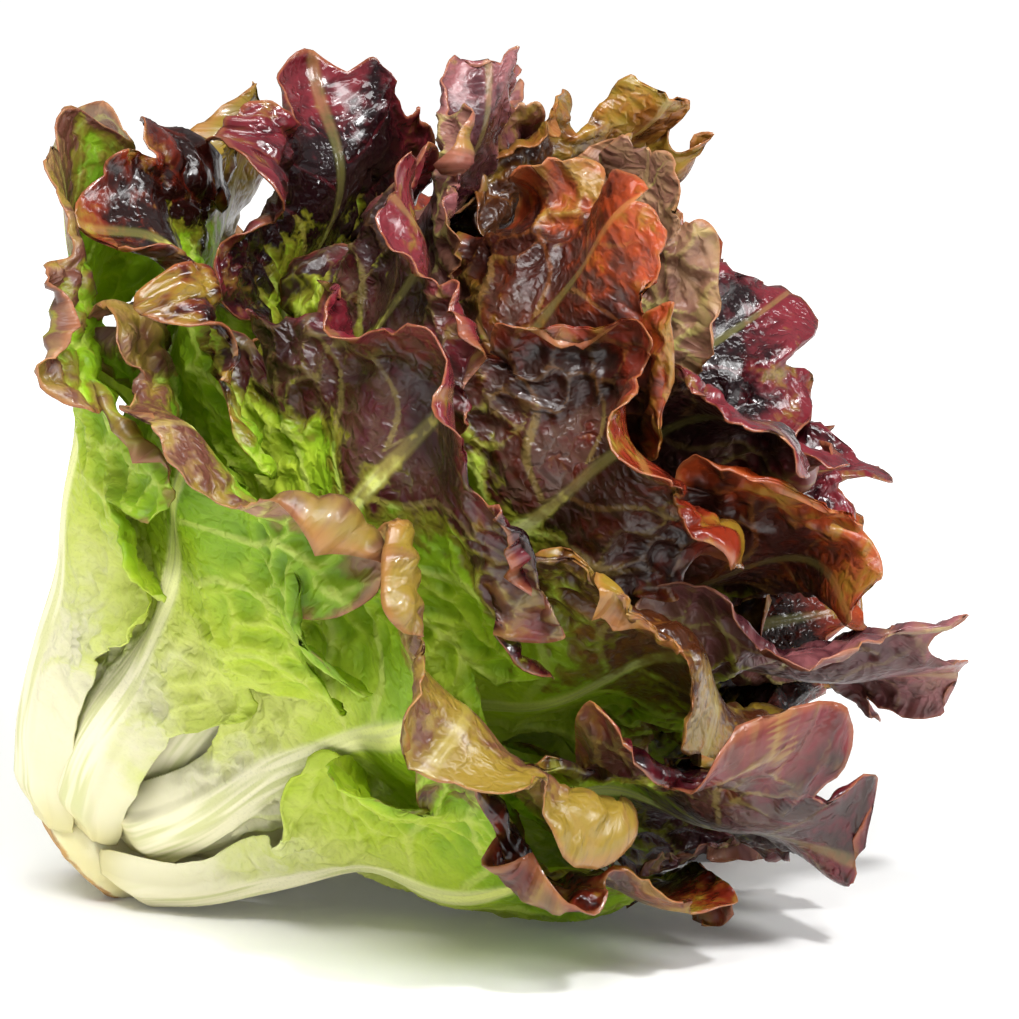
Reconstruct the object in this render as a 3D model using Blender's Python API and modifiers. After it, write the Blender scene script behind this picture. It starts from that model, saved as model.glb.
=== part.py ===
"""A whole head of red leaf lettuce, cut at the butt and lying on its side.

Each large leaf is a closed thin blade with a thick rib, and is an object of its own. The leaves
stand round a short tapering stem in a golden-angle spiral, the oldest and most open at the butt.
Leaves are placed from the heart outwards, and each one opens until it is clear of those inside it.
The head is built upright about its stem and then laid down by one parent empty.
"""

import math
import random

import bmesh
import bpy
import numpy as np
from mathutils import Matrix, Vector

MM = 0.001

# The stem: a cut butt that tapers up through the head
BUTT_RADIUS = 15.5 * MM
BUTT_HEIGHT = 12 * MM
STEM_LENGTH = 78 * MM
STEM_TIP_RADIUS = 5 * MM
STEM_STEPS = 24
WELD_WITHIN = 0.05 * MM

# How the head lies: the axis rises this far above the surface, towards +X
AXIS_RISE = math.radians(42)
BUTT_AT = (-114.2 * MM, -10.75 * MM, 9.9 * MM)

# The lowest leaves are pressed up softly by the surface, from this far beyond the butt
PRESS_SOFT = 6 * MM
PRESS_FROM = 23 * MM
PRESS_OVER = 70 * MM

# The leaves in order of age, the oldest first
LEAF_COUNT = 30
OUTER_COUNT = 11
MIDDLE_COUNT = 11
GOLDEN_ANGLE = math.radians(137.5)
OLDEST_OPENING = math.radians(42)
YOUNGEST_OPENING = math.radians(8)
FLATTENED = 0.12
OLDEST_ROOT = 9 * MM
YOUNGEST_ROOT = 72 * MM
ROOT_GAP = 0.35 * MM

# Blade sizes, from the youngest leaf to the oldest
BLADE_THICKNESS = 0.8 * MM
RIB_THICKNESS = (2.2 * MM, 4.6 * MM)
RIB_HALF_WIDTH = (3.5 * MM, 6.8 * MM)
RIB_TIP_HALF_WIDTH = 1.2 * MM
LEAF_LENGTH = (184 * MM, 194 * MM)
LEAF_HALF_WIDTH = (38 * MM, 56 * MM)
RUFFLE_HEIGHT = (3.5 * MM, 7.0 * MM)
CRUMPLE_HEIGHT = 1.6 * MM

# How a leaf's outline runs, in shares of its length and of its half width
CLASP = 0.35
CLASP_OVER = 0.1
FOOT_SHARE = 0.12
WIDENS_FROM = 0.17
WIDENS_OVER = 0.46
WIDENS_POWER = 1.35
TIP_RIB_SHARE = 0.27

# How a leaf bends: flared at its foot, wrapped round those inside it, waved along its margin
FLARE = math.radians(14)
FLARE_OVER = 0.16
BEND_FROM = 0.35
WRAP = 1.1
LEAST_WRAP = 1.25
CURL_FROM = 0.3
CURL_OVER = 0.3
SLICES = 14
TIP_WAVE = 0.55
TIP_WAVE_FROM = 0.78
CRUMPLES = ((9, 5), (14, -6), (20, 9))
SPINE_STEPS = 241

# The grid of a blade: rows from root to tip, columns from margin to margin
FOOT = 0.34
FOOT_ROWS = 3
OUTER_ROWS = 11
INNER_ROWS = 8
RIB_EDGE = 0.2
COLUMNS = (-1.0, -0.74, -0.47, -RIB_EDGE, 0.0, RIB_EDGE, 0.47, 0.74, 1.0)
ROWS_PER_LOBE = 3
LOBE_DEPTH = 0.3
TOP_NOTCH = 0.47
TOP_NOTCH_WIDTH = 0.1
TOP_NOTCH_DEPTH = 0.07
CROWN_FROM = 0.55
CROWN_ROUND = 0.43

# How often the direction of a blade's thickness is evened out between neighbouring places
NORMAL_PASSES = 2

# The room between leaves, kept on a fan of cells about a centre below the butt
CLEARANCE = 0.4 * MM
FAN_DEPTH = 20 * MM
CROWD_RINGS = 130
CROWD_RING = 2.5 * MM
CROWD_SECTORS = 144
EASING_CELLS = 8

# The heart: small young leaves on a core at the stem's tip
HEART_COUNT = 6
HEART_COLUMNS = (-1.0, -0.5, 0.0, 0.5, 1.0)
HEART_AT = 79 * MM
HEART_CORE = (4.4 * MM, 1.5 * MM, 30 * MM)
HEART_LENGTH = (60 * MM, 92 * MM)
HEART_HALF_WIDTH = (11 * MM, 17 * MM)
HEART_RIB = (1.6 * MM, 0.8 * MM)
HEART_SUNK = 2.2 * MM

# Colour and roughness of each kind of piece
FINISHES = {
    "stem": ((0.75, 0.72, 0.45), 0.5),
    "heart": ((0.4, 0.5, 0.14), 0.45),
    "outer_leaf": ((0.3, 0.33, 0.1), 0.5),
    "middle_leaf": ((0.22, 0.1, 0.06), 0.45),
    "inner_leaf": ((0.2, 0.05, 0.05), 0.4),
}

# What single leaves do beyond the rule, by their place in the spiral: lengths in millimetres,
# angles in degrees
SHAPED = {
    0: {"length": 186, "opening": 35, "roll": 45, "azimuth": 22, "twist": 30},
    1: {"length": 172, "opening": 38, "roll": 35, "roll_from": 0.6, "curl": 40, "azimuth": 134,
        "twist": -20},
    2: {"length": 182},
    3: {"length": 168, "opening": 37, "roll": 75, "curl": 20},
    4: {"length": 178, "opening": 45.5, "roll": 0, "azimuth": 210, "curl": 85, "twist": 0},
    5: {"length": 190, "opening": 34, "twist": -50},
    6: {"length": 170, "roll": 85, "roll_from": 0.66},
    7: {"length": 178, "opening": 41, "roll": 60, "azimuth": 238},
    8: {"length": 182, "roll": 60, "twist": 30},
    9: {"length": 192, "opening": 29, "roll": 60, "twist": 30},
    11: {"length": 178, "roll": 60},
    13: {"length": 192, "roll": 35, "twist": 50},
    14: {"length": 186, "roll": 110, "roll_from": 0.68, "curl": 70},
    16: {"length": 186, "roll": 50, "twist": 30},
    17: {"length": 196, "roll": 45, "twist": 50},
    18: {"length": 196, "roll": 30, "twist": -55},
    19: {"length": 182, "roll": 80},
    21: {"length": 196, "twist": 45},
    22: {"length": 190, "roll": 60, "twist": 40},
    26: {"length": 196, "roll": 20, "twist": 60},
    27: {"length": 186, "roll": 90, "roll_from": 0.66},
}


def smooth(value):
    value = np.clip(value, 0.0, 1.0)
    return value * value * (3 - 2 * value)


def between(pair, age):
    return pair[0] + (pair[1] - pair[0]) * age


def stem_radius(height):
    """The stem's radius where a leaf grows from it."""
    along = np.clip((height - BUTT_HEIGHT) / (STEM_LENGTH - BUTT_HEIGHT), 0.0, 1.0)
    return BUTT_RADIUS + (STEM_TIP_RADIUS - BUTT_RADIUS) * along


def flattened(index):
    """The head is a little flatter from front to back than from top to bottom."""
    return 1 - FLATTENED * math.sin(index * GOLDEN_ANGLE) ** 2


def leaf_plan(index):
    """The measures of one leaf, by the rule for its age and then by what is its own."""
    age = 1 - index / (LEAF_COUNT - 1)
    draw = random.Random(700 + index)
    plan = {
        "azimuth": index * GOLDEN_ANGLE,
        "opening": between((YOUNGEST_OPENING, OLDEST_OPENING), age**0.9) * flattened(index),
        "root": between((YOUNGEST_ROOT, OLDEST_ROOT), age),
        "length": between(LEAF_LENGTH, smooth(age * 1.6)),
        "half_width": between(LEAF_HALF_WIDTH, smooth(age * 1.5)) * draw.uniform(0.92, 1.06),
        "rib": between(RIB_HALF_WIDTH, age),
        "rib_thickness": between(RIB_THICKNESS, age),
        "ruffle": between(RUFFLE_HEIGHT, age) * draw.uniform(0.9, 1.1),
        "rows": OUTER_ROWS if index < OUTER_COUNT + 4 else INNER_ROWS,
        "columns": COLUMNS,
        "flare": FLARE,
        "bend": math.radians(draw.uniform(-6, 10)),
        "roll": math.radians(draw.uniform(10, 55)),
        "roll_from": draw.uniform(0.72, 0.8),
        "curl": math.radians(draw.uniform(15, 60)),
        "sway": draw.uniform(-0.08, 0.08),
        "twist": math.radians(draw.uniform(-25, 25)),
        "waves": draw.uniform(3.6, 4.4),
        "phases": [draw.uniform(0, 2 * math.pi) for _ in range(9)],
    }
    for name, value in SHAPED.get(index, {}).items():
        scale = MM if name == "length" else 1 if name == "roll_from" else math.pi / 180
        plan[name] = value * scale
    return plan


def half_width(plan, along, side):
    """The blade's flat half width, with a narrow foot and a round crown, and how deep it is cut."""
    widened = smooth((along - WIDENS_FROM) / WIDENS_OVER) ** WIDENS_POWER
    crown = FOOT_SHARE + (1 - FOOT_SHARE) * widened
    crown = crown * np.sqrt(1 - CROWN_ROUND * crown_share(along) ** 2)
    row = plan["rows"] * (along - FOOT) / (1 - FOOT)
    place = (row - np.where(side < 0, plan["rows"] - 2, plan["rows"] - 3)) / ROWS_PER_LOBE
    notch = 1 - np.abs(np.sin(np.pi * place)) ** 0.7
    lobed = smooth((along - 0.3) / 0.15) * (1 - 0.55 * crown_share(along))
    lobed = lobed * (1 - smooth((along - 0.9) / 0.06))
    return rib_half_width(plan, along) + plan["half_width"] * crown, notch * lobed


def crown_share(along):
    """How far a place is from the middle of the round crown to its top."""
    return np.clip((along - CROWN_FROM) / (1 - CROWN_FROM), 0.0, 1.0)


def crown_place(along, reach):
    """How far up the rib a place lies, with the crown's top bent round into lobes."""
    share = crown_share(along)
    rounded = CROWN_FROM + (1 - CROWN_FROM) * share * np.sqrt(1 - CROWN_ROUND * reach**2)
    notch = np.exp(-(((reach - TOP_NOTCH) / TOP_NOTCH_WIDTH) ** 2) / 2)
    return np.where(along < CROWN_FROM, along, rounded) - TOP_NOTCH_DEPTH * share**4 * notch


def rib_half_width(plan, along):
    clasp = 1 + CLASP * (1 - smooth(along / CLASP_OVER))
    return RIB_TIP_HALF_WIDTH + (plan["rib"] - RIB_TIP_HALF_WIDTH) * (1 - along) ** 0.8 * clasp


def blade_thickness(plan, along, across):
    """The blade's thickness, with the rib standing out on the underside."""
    ridge = 1 - smooth(np.abs(across) / (2 * RIB_EDGE))
    return BLADE_THICKNESS + plan["rib_thickness"] * (1 - along) ** 1.1 * ridge


def spine(plan):
    """Distance out, distance along and heading at even steps up the midrib."""
    steps = np.linspace(0, 1, SPINE_STEPS)
    heading = (
        plan["opening"]
        + plan["flare"] * (1 - smooth(steps / FLARE_OVER))
        + plan["bend"] * (steps - BEND_FROM)
        + plan["roll"] * smooth((steps - plan["roll_from"]) / (1 - plan["roll_from"]))
    )
    middle = (heading[1:] + heading[:-1]) / 2
    length = plan["length"] / (len(steps) - 1)
    out = np.concatenate([[0.0], np.cumsum(np.sin(middle))]) * length
    up = np.concatenate([[0.0], np.cumsum(np.cos(middle))]) * length
    return steps, out, up, heading


def leaf_surface(plan, along, across):
    """Points of the leaf's upper face, in the frame of the upright head.

    along runs from 0 at the root to 1 at the tip, and across from -1 to 1 between the margins.
    """
    steps, out, up, heading = spine(plan)
    phase = plan["phases"]
    side = np.where(across < 0, -1.0, 1.0)
    reach = np.abs(across)
    place = crown_place(along, reach)
    rib = rib_half_width(plan, along)
    width, cut = half_width(plan, along, side)
    beyond = np.clip((reach - RIB_EDGE) / (1 - RIB_EDGE), 0, 1)
    edge = rib + (TIP_RIB_SHARE * width - rib) * smooth((along - 0.35) / 0.45)
    lateral = np.where(reach < RIB_EDGE, edge * reach / RIB_EDGE, edge + (width - edge) * beyond)
    lateral = lateral * (1 - LOBE_DEPTH * cut * beyond**0.6)

    outwards = np.interp(place, steps, out)
    upwards = np.interp(place, steps, up)
    lean = np.interp(place, steps, heading)
    root_radius = stem_radius(plan["root"]) + ROOT_GAP - plan.get("sunk", 0.0)
    wrap = np.maximum((root_radius + outwards) * WRAP, width / LEAST_WRAP)
    curl = plan["curl"] * smooth((along - CURL_FROM) / CURL_OVER)

    sideways = np.zeros_like(lateral)
    lift = np.zeros_like(lateral)
    for number in range(SLICES):
        part = lateral * (number + 0.5) / SLICES
        slope = -part / wrap + curl * (part / width) ** 3
        sideways += np.cos(slope) * lateral / SLICES
        lift += np.sin(slope) * lateral / SLICES

    margin = beyond**1.8 * smooth((along - 0.1) / 0.3)
    turns = plan["waves"] * along - 0.3 * reach
    wave = np.sin(2 * np.pi * turns + np.where(side < 0, phase[0], phase[1]))
    tip = smooth((along - TIP_WAVE_FROM) / (1 - TIP_WAVE_FROM))
    tip_wave = tip * np.sin(2 * np.pi * 1.2 * across + phase[2])
    lift += plan["ruffle"] * (margin * wave + TIP_WAVE * tip_wave)
    flat = lateral * side / plan["half_width"]
    grown = smooth((along - 0.15) / 0.3)
    for (lengthwise, crosswise), start in zip(CRUMPLES, phase[3:]):
        crumple = np.sin(lengthwise * place + crosswise * flat + start)
        lift += CRUMPLE_HEIGHT * crumple * grown

    sideways = sideways * side + plan["sway"] * plan["length"] * place**2
    turn = plan["twist"] * place**3
    across_part = sideways * np.cos(turn) - lift * np.sin(turn)
    out_part = sideways * np.sin(turn) + lift * np.cos(turn)

    radial = root_radius + outwards + out_part * np.cos(lean)
    height = plan["root"] + upwards - out_part * np.sin(lean)
    cosine, sine = math.cos(plan["azimuth"]), math.sin(plan["azimuth"])
    forward = radial * cosine - across_part * sine
    beside = radial * sine + across_part * cosine
    return np.stack([forward, beside, height], axis=-1)


def leaf_grid(plan):
    """The places of the coarse grid, a row for each line across the leaf."""
    foot = np.linspace(0, FOOT, FOOT_ROWS + 1)
    blade = np.linspace(FOOT, 1, plan["rows"] + 1)
    return np.meshgrid(np.concatenate([foot, blade[1:]]), np.array(plan["columns"]), indexing="ij")


def grid_normals(points):
    """The underside's direction at each point of a grid."""
    ahead = np.gradient(points, axis=0)
    beside = np.gradient(points, axis=1)
    normal = np.cross(beside, ahead)
    for _ in range(NORMAL_PASSES):
        normal = normal / np.maximum(np.linalg.norm(normal, axis=-1, keepdims=True), 1e-12)
        framed = np.pad(normal, ((1, 1), (1, 1), (0, 0)), mode="edge")
        around = framed[2:, 1:-1] + framed[:-2, 1:-1] + framed[1:-1, 2:] + framed[1:-1, :-2]
        normal = normal + around / 4
    return normal / np.linalg.norm(normal, axis=-1, keepdims=True)


def split_along_veins(bm, number, columns):
    """Cuts each cell in two from its place nearest the rib's foot to the one opposite."""
    for face in bm.faces[:]:
        corners = sorted(face.verts, key=lambda vertex: vertex[number])
        if corners[0][number] % columns < columns // 2:
            bmesh.utils.face_split(face, corners[1], corners[2])
        else:
            bmesh.utils.face_split(face, corners[0], corners[3])


def leaf_mesh(points, thickness):
    """A closed leaf: a grid laid on the leaf's surface, then thickened towards the underside."""
    underside = points + grid_normals(points) * thickness
    upper, lower = (face.reshape(-1, 3) for face in rested(points, underside))
    rows, columns = points.shape[:2]

    bm = bmesh.new()
    number = bm.verts.layers.int.new("number")
    bmesh.ops.create_grid(bm, x_segments=columns - 1, y_segments=rows - 1, size=1)
    for vertex in bm.verts:
        column = round((vertex.co.x + 1) / 2 * (columns - 1))
        row = round((vertex.co.y + 1) / 2 * (rows - 1))
        vertex[number] = row * columns + column
    split_along_veins(bm, number, columns)
    for vertex in bm.verts:
        vertex.co = upper[vertex[number]]
    grown = bmesh.ops.extrude_face_region(bm, geom=bm.faces[:], use_keep_orig=True)
    for vertex in grown["geom"]:
        if isinstance(vertex, bmesh.types.BMVert):
            vertex.co = lower[vertex[number]]
    bmesh.ops.triangulate(bm, faces=bm.faces[:])
    bmesh.ops.recalc_face_normals(bm, faces=bm.faces[:])
    bm.verts.layers.int.remove(bm.verts.layers.int["number"])
    return bm


def material(kind):
    colour, roughness = FINISHES[kind]
    finish = bpy.data.materials.new(kind)
    finish.use_nodes = True
    shader = finish.node_tree.nodes["Principled BSDF"]
    shader.inputs["Base Color"].default_value = (*colour, 1)
    shader.inputs["Roughness"].default_value = roughness
    shader.inputs["Metallic"].default_value = 0
    return finish


def add_object(name, mesh, finish, head, collection):
    placed = bpy.data.objects.new(name, mesh)
    placed.parent = head
    mesh.materials.append(finish)
    collection.objects.link(placed)
    return placed


def stem_profile():
    """Half the stem's section from the tip down to the cut face, at +X."""
    return [
        (0.0, STEM_LENGTH),
        (STEM_TIP_RADIUS * 0.7, STEM_LENGTH - 0.6 * MM),
        (STEM_TIP_RADIUS, STEM_LENGTH - 2.5 * MM),
        (BUTT_RADIUS, BUTT_HEIGHT),
        (BUTT_RADIUS + 1.2 * MM, BUTT_HEIGHT - 5 * MM),
        (BUTT_RADIUS + 0.4 * MM, 1.5 * MM),
        (BUTT_RADIUS - 1.6 * MM, 0.0),
        (0.0, -0.8 * MM),
    ]


def make_stem(head, collection):
    """The turned stem, with a small flat where the butt rests."""
    bm = bmesh.new()
    ring = [bm.verts.new((radius, 0, height)) for radius, height in stem_profile()]
    for first, second in zip(ring, ring[1:]):
        bm.edges.new((first, second))
    stem = add_object("stem", mesh_from(bm, "stem"), material("stem"), head, collection)
    turn = stem.modifiers.new("turn", "SCREW")
    turn.steps = turn.render_steps = STEM_STEPS
    turn.use_merge_vertices = True
    turn.merge_threshold = WELD_WITHIN
    turned = applied(stem)
    bm = bmesh.new()
    bm.from_mesh(turned)
    bpy.data.meshes.remove(turned)
    down = head_matrix().inverted().to_3x3() @ Vector((0, 0, -1))
    on_surface = head_matrix().inverted() @ Vector((BUTT_AT[0], BUTT_AT[1], 0))
    cut = bmesh.ops.bisect_plane(bm, geom=bm.verts[:] + bm.edges[:] + bm.faces[:], dist=1e-7,
                                 plane_co=on_surface, plane_no=down, clear_outer=True)
    rim = [part for part in cut["geom_cut"] if isinstance(part, bmesh.types.BMEdge)]
    bmesh.ops.contextual_create(bm, geom=rim)
    bmesh.ops.recalc_face_normals(bm, faces=bm.faces[:])
    bm.to_mesh(stem.data)
    bm.free()


def leaf_kind(index):
    """Whether a leaf is outer, middle or inner, and its number among those."""
    if index < OUTER_COUNT:
        return "outer_leaf", index + 1
    if index < OUTER_COUNT + MIDDLE_COUNT:
        return "middle_leaf", index + 1 - OUTER_COUNT
    return "inner_leaf", index + 1 - OUTER_COUNT - MIDDLE_COUNT


def fan_places(points):
    """Distance from the fan's centre, azimuth and opening angle of points in the head's frame."""
    height = points[..., 2] + FAN_DEPTH
    sideways = np.hypot(points[..., 0], points[..., 1])
    distance = np.hypot(sideways, height)
    return distance, np.arctan2(points[..., 1], points[..., 0]), np.arctan2(sideways, height)


def fan_points(distance, azimuth, opening):
    sideways = distance * np.sin(opening)
    height = distance * np.cos(opening) - FAN_DEPTH
    return np.stack([sideways * np.cos(azimuth), sideways * np.sin(azimuth), height], axis=-1)


def dense(grid, parts=8):
    """A grid of points with each of its cells cut into parts each way."""
    for axis in (0, 1):
        count = grid.shape[axis]
        at = np.linspace(0, count - 1, (count - 1) * parts + 1)
        low = np.minimum(at.astype(int), count - 2)
        share = (at - low).reshape([-1 if k == axis else 1 for k in range(3)])
        grid = np.take(grid, low, axis) * (1 - share) + np.take(grid, low + 1, axis) * share
    return grid


class Crowd:
    """How far open the head already reaches, over distance from the fan's centre and azimuth."""

    def __init__(self):
        self.taken = np.zeros((CROWD_RINGS, CROWD_SECTORS))

    def cells(self, points):
        distance, azimuth, opening = fan_places(points.reshape(-1, 3))
        ring = np.clip((distance / CROWD_RING).astype(int), 0, CROWD_RINGS - 1)
        sector = np.floor(azimuth / (2 * np.pi) * CROWD_SECTORS).astype(int) % CROWD_SECTORS
        return ring, sector, opening

    def room_for(self, inside):
        """How much further a leaf has to open in each cell so that its inside clears the rest."""
        ring, sector, opening = self.cells(inside)
        need = np.zeros_like(self.taken)
        np.maximum.at(need, (ring, sector), self.taken[ring, sector] - opening)
        for _ in range(EASING_CELLS + 1):
            need = np.maximum(need, np.maximum(np.roll(need, 1, 1), np.roll(need, -1, 1)))
            padded = np.pad(need, ((1, 1), (0, 0)), mode="edge")
            need = np.maximum(need, np.maximum(padded[2:], padded[:-2]))
        half = EASING_CELLS // 2
        for _ in range(2):
            need = sum(np.roll(need, k, 1) for k in range(-half, half + 1)) / (2 * half + 1)
            padded = np.pad(need, ((half, half), (0, 0)), mode="edge")
            need = sum(padded[k : k + CROWD_RINGS] for k in range(2 * half + 1)) / (2 * half + 1)
        return need

    def take(self, outside):
        ring, sector, opening = self.cells(outside)
        for ring_step in (-1, 0, 1):
            near = np.clip(ring + ring_step, 0, CROWD_RINGS - 1)
            for sector_step in (-1, 0, 1):
                beside = (sector + sector_step) % CROWD_SECTORS
                np.maximum.at(self.taken, (near, beside), opening)


def ease_open(points, room):
    """Points moved outwards by the room that their leaf needs, smoothly between the cells."""
    distance, azimuth, opening = fan_places(points)
    ring = np.clip(distance / CROWD_RING - 0.5, 0, CROWD_RINGS - 1.001)
    sector = azimuth / (2 * np.pi) * CROWD_SECTORS - 0.5
    low_ring, low_sector = np.floor(ring).astype(int), np.floor(sector).astype(int)
    ring_share, sector_share = ring - low_ring, sector - low_sector
    more = 0
    for step, share in ((0, 1 - ring_share), (1, ring_share)):
        for turn, part in ((0, 1 - sector_share), (1, sector_share)):
            more = more + room[low_ring + step, (low_sector + turn) % CROWD_SECTORS] * share * part
    return fan_points(distance, azimuth, opening + more)


def head_matrix():
    """How the upright head is laid down, its spiral starting at the top and turning to the front."""
    sine, cosine = math.sin(AXIS_RISE), math.cos(AXIS_RISE)
    x, y, z = BUTT_AT
    return Matrix(((-sine, 0, cosine, x), (0, -1, 0, y), (cosine, 0, sine, z), (0, 0, 0, 1)))


def laid_down(points):
    matrix = np.array(head_matrix())
    return points @ matrix[:3, :3].T + matrix[:3, 3]


def upright(lying):
    matrix = np.array(head_matrix())
    return (lying - matrix[:3, 3]) @ matrix[:3, :3]


def press_up(points, thickness):
    """Points of the head's frame, with what the surface presses on moved up from it, softly."""
    lying = laid_down(points)
    share = smooth((lying[..., 0] - BUTT_AT[0] - PRESS_FROM) / PRESS_OVER)
    over = lying[..., 2] - thickness
    lifted = np.maximum(over, 0) + PRESS_SOFT * np.log1p(np.exp(-np.abs(over) / PRESS_SOFT))
    lying[..., 2] += share * (lifted - over)
    return upright(lying)


def rested(upper, lower):
    """Both faces of a leaf, lifted together where either would reach below the surface."""
    height = np.minimum(laid_down(upper)[..., 2], laid_down(lower)[..., 2])
    lift = np.maximum(0.0, -height)[..., None] * np.array(head_matrix())[2, :3]
    return upper + lift, lower + lift


def opened(plan, crowd, clearance):
    """The points of a leaf, opened until it is clear of the crowd, and how thick it is there."""
    along, across = leaf_grid(plan)
    points = leaf_surface(plan, along, across)
    thickness = blade_thickness(plan, along, across)[..., None]
    inside = points - grid_normals(points) * clearance
    points = ease_open(points, crowd.room_for(dense(inside)))
    crowd.take(dense(points + grid_normals(points) * (thickness + clearance)))
    return points, thickness


def mesh_from(bm, name):
    mesh = bpy.data.meshes.new(name)
    bm.to_mesh(mesh)
    bm.free()
    return mesh


def applied(piece):
    """The mesh of a piece with its modifiers applied, which are then removed from it."""
    bpy.context.view_layer.update()
    mesh = bpy.data.meshes.new_from_object(piece.evaluated_get(bpy.context.evaluated_depsgraph_get()))
    piece.modifiers.clear()
    return mesh


def heart_plan(number):
    """The measures of one small leaf of the heart."""
    age = 1 - number / (HEART_COUNT - 1)
    plan = leaf_plan(LEAF_COUNT - 1)
    draw = random.Random(40 + number)
    plan.update(
        azimuth=(LEAF_COUNT + number) * GOLDEN_ANGLE,
        opening=math.radians(3 + 7 * age),
        root=HEART_AT + 14 * MM * (1 - age),
        length=between(HEART_LENGTH, age),
        half_width=between(HEART_HALF_WIDTH, age),
        rib=HEART_RIB[0],
        rib_thickness=HEART_RIB[1],
        ruffle=CRUMPLE_HEIGHT,
        sunk=HEART_SUNK,
        rows=4,
        columns=HEART_COLUMNS,
        flare=0.0,
        bend=math.radians(-8),
        roll=math.radians(12),
        curl=math.radians(20),
        sway=0.0,
        twist=0.0,
        phases=[draw.uniform(0, 2 * math.pi) for _ in range(9)],
    )
    return plan


def make_heart(head, collection, crowd):
    """Small leaves with their feet sunk in a tapered core, joined with it in one body."""
    bottom, top, height = HEART_CORE
    bm = bmesh.new()
    bmesh.ops.create_cone(
        bm, cap_ends=True, segments=10, radius1=bottom, radius2=top, depth=height,
        matrix=Matrix.Translation((0, 0, HEART_AT + height / 2 + ROOT_GAP)),
    )
    core = add_object("heart", mesh_from(bm, "heart"), material("heart"), head, collection)
    pieces = bpy.data.collections.new("heart_leaves")
    bpy.context.scene.collection.children.link(pieces)
    own_crowd = Crowd()
    for number in reversed(range(HEART_COUNT)):
        points, thickness = opened(heart_plan(number), own_crowd, 0.0)
        crowd.take(dense(points + grid_normals(points) * (thickness + CLEARANCE)))
        mesh = mesh_from(leaf_mesh(points, thickness), f"heart_leaf_{number}")
        leaf = bpy.data.objects.new(mesh.name, mesh)
        leaf.parent = head
        pieces.objects.link(leaf)
    union = core.modifiers.new("union", "BOOLEAN")
    union.operation = "UNION"
    union.operand_type = "COLLECTION"
    union.collection = pieces
    union.solver = "MANIFOLD"
    core.data = applied(core)
    core.data.name = "heart"
    for leaf in list(pieces.objects):
        bpy.data.objects.remove(leaf)
    bpy.data.collections.remove(pieces)


def make_leaves(head, collection, crowd):
    finishes = {kind: material(kind) for kind in ("outer_leaf", "middle_leaf", "inner_leaf")}
    for index in reversed(range(LEAF_COUNT)):
        kind, number = leaf_kind(index)
        points, thickness = opened(leaf_plan(index), crowd, CLEARANCE)
        pressed = press_up(points, thickness[..., 0])
        mesh = mesh_from(leaf_mesh(pressed, thickness), f"{kind}_{number:02d}")
        mesh.shade_smooth()
        add_object(mesh.name, mesh, finishes[kind], head, collection)


def main():
    for old in list(bpy.data.objects):
        bpy.data.objects.remove(old)
    collection = bpy.data.collections.new("red_leaf_lettuce")
    bpy.context.scene.collection.children.link(collection)
    head = bpy.data.objects.new("head", None)
    collection.objects.link(head)
    head.matrix_world = head_matrix()
    crowd = Crowd()
    make_stem(head, collection)
    make_heart(head, collection, crowd)
    make_leaves(head, collection, crowd)


main()
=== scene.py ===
"""Looks of a head of red leaf lettuce that lies on its side.

Every leaf is grown again on a fine grid from the measures of the plain solids, with blisters, side
veins, a fluted rib and a frilled margin, and coloured from its pale foot to its dark red crown.
"""

import math
import random
from types import SimpleNamespace

import bmesh
import bpy
import numpy as np
from bpy.props import FloatProperty, FloatVectorProperty, IntProperty, PointerProperty
from mathutils import Matrix, Vector


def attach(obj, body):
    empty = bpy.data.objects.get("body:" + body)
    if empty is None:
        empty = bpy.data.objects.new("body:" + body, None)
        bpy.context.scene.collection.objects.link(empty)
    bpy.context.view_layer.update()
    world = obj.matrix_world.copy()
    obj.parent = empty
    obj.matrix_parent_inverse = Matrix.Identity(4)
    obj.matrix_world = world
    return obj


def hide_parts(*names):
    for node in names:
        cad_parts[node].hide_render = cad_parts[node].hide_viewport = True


bl_info = {
    "name": "Red leaf lettuce head",
    "version": (1, 0, 0),
    "blender": (4, 5, 0),
    "location": "3D View > Sidebar > Lettuce",
    "description": "Grows the leaves, heart and butt of a head of red leaf lettuce",
    "category": "Object",
}

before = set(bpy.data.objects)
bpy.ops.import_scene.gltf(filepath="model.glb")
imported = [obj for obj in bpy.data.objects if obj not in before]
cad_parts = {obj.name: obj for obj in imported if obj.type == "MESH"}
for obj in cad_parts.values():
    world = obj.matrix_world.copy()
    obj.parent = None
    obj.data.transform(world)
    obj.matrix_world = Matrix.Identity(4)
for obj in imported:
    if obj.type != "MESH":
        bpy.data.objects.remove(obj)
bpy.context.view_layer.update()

MM = 0.001

# The measures down to SHAPED are those of the plain solids, which the fine pieces keep.
# The stem, and how the head lies: the axis rises this far above the surface, towards +X
BUTT_RADIUS = 15.5 * MM
BUTT_HEIGHT = 12 * MM
STEM_LENGTH = 78 * MM
STEM_TIP_RADIUS = 5 * MM
STEM_TIP = ((0.7 * STEM_TIP_RADIUS, STEM_LENGTH - 0.6 * MM), (STEM_TIP_RADIUS, STEM_LENGTH - 2.5 * MM))
BUTT_CORNERS = (
    (BUTT_RADIUS, BUTT_HEIGHT), (BUTT_RADIUS + 1.2 * MM, BUTT_HEIGHT - 5 * MM),
    (BUTT_RADIUS + 0.4 * MM, 1.5 * MM), (BUTT_RADIUS - 1.6 * MM, 0.0),
)
FACE_BULGE = 0.8 * MM
AXIS_RISE = math.radians(42)
BUTT_AT = (-114.2 * MM, -10.75 * MM, 9.9 * MM)

# The lowest leaves are pressed up softly by the surface, from this far beyond the butt
PRESS_SOFT = 6 * MM
PRESS_FROM = 23 * MM
PRESS_OVER = 70 * MM

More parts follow.
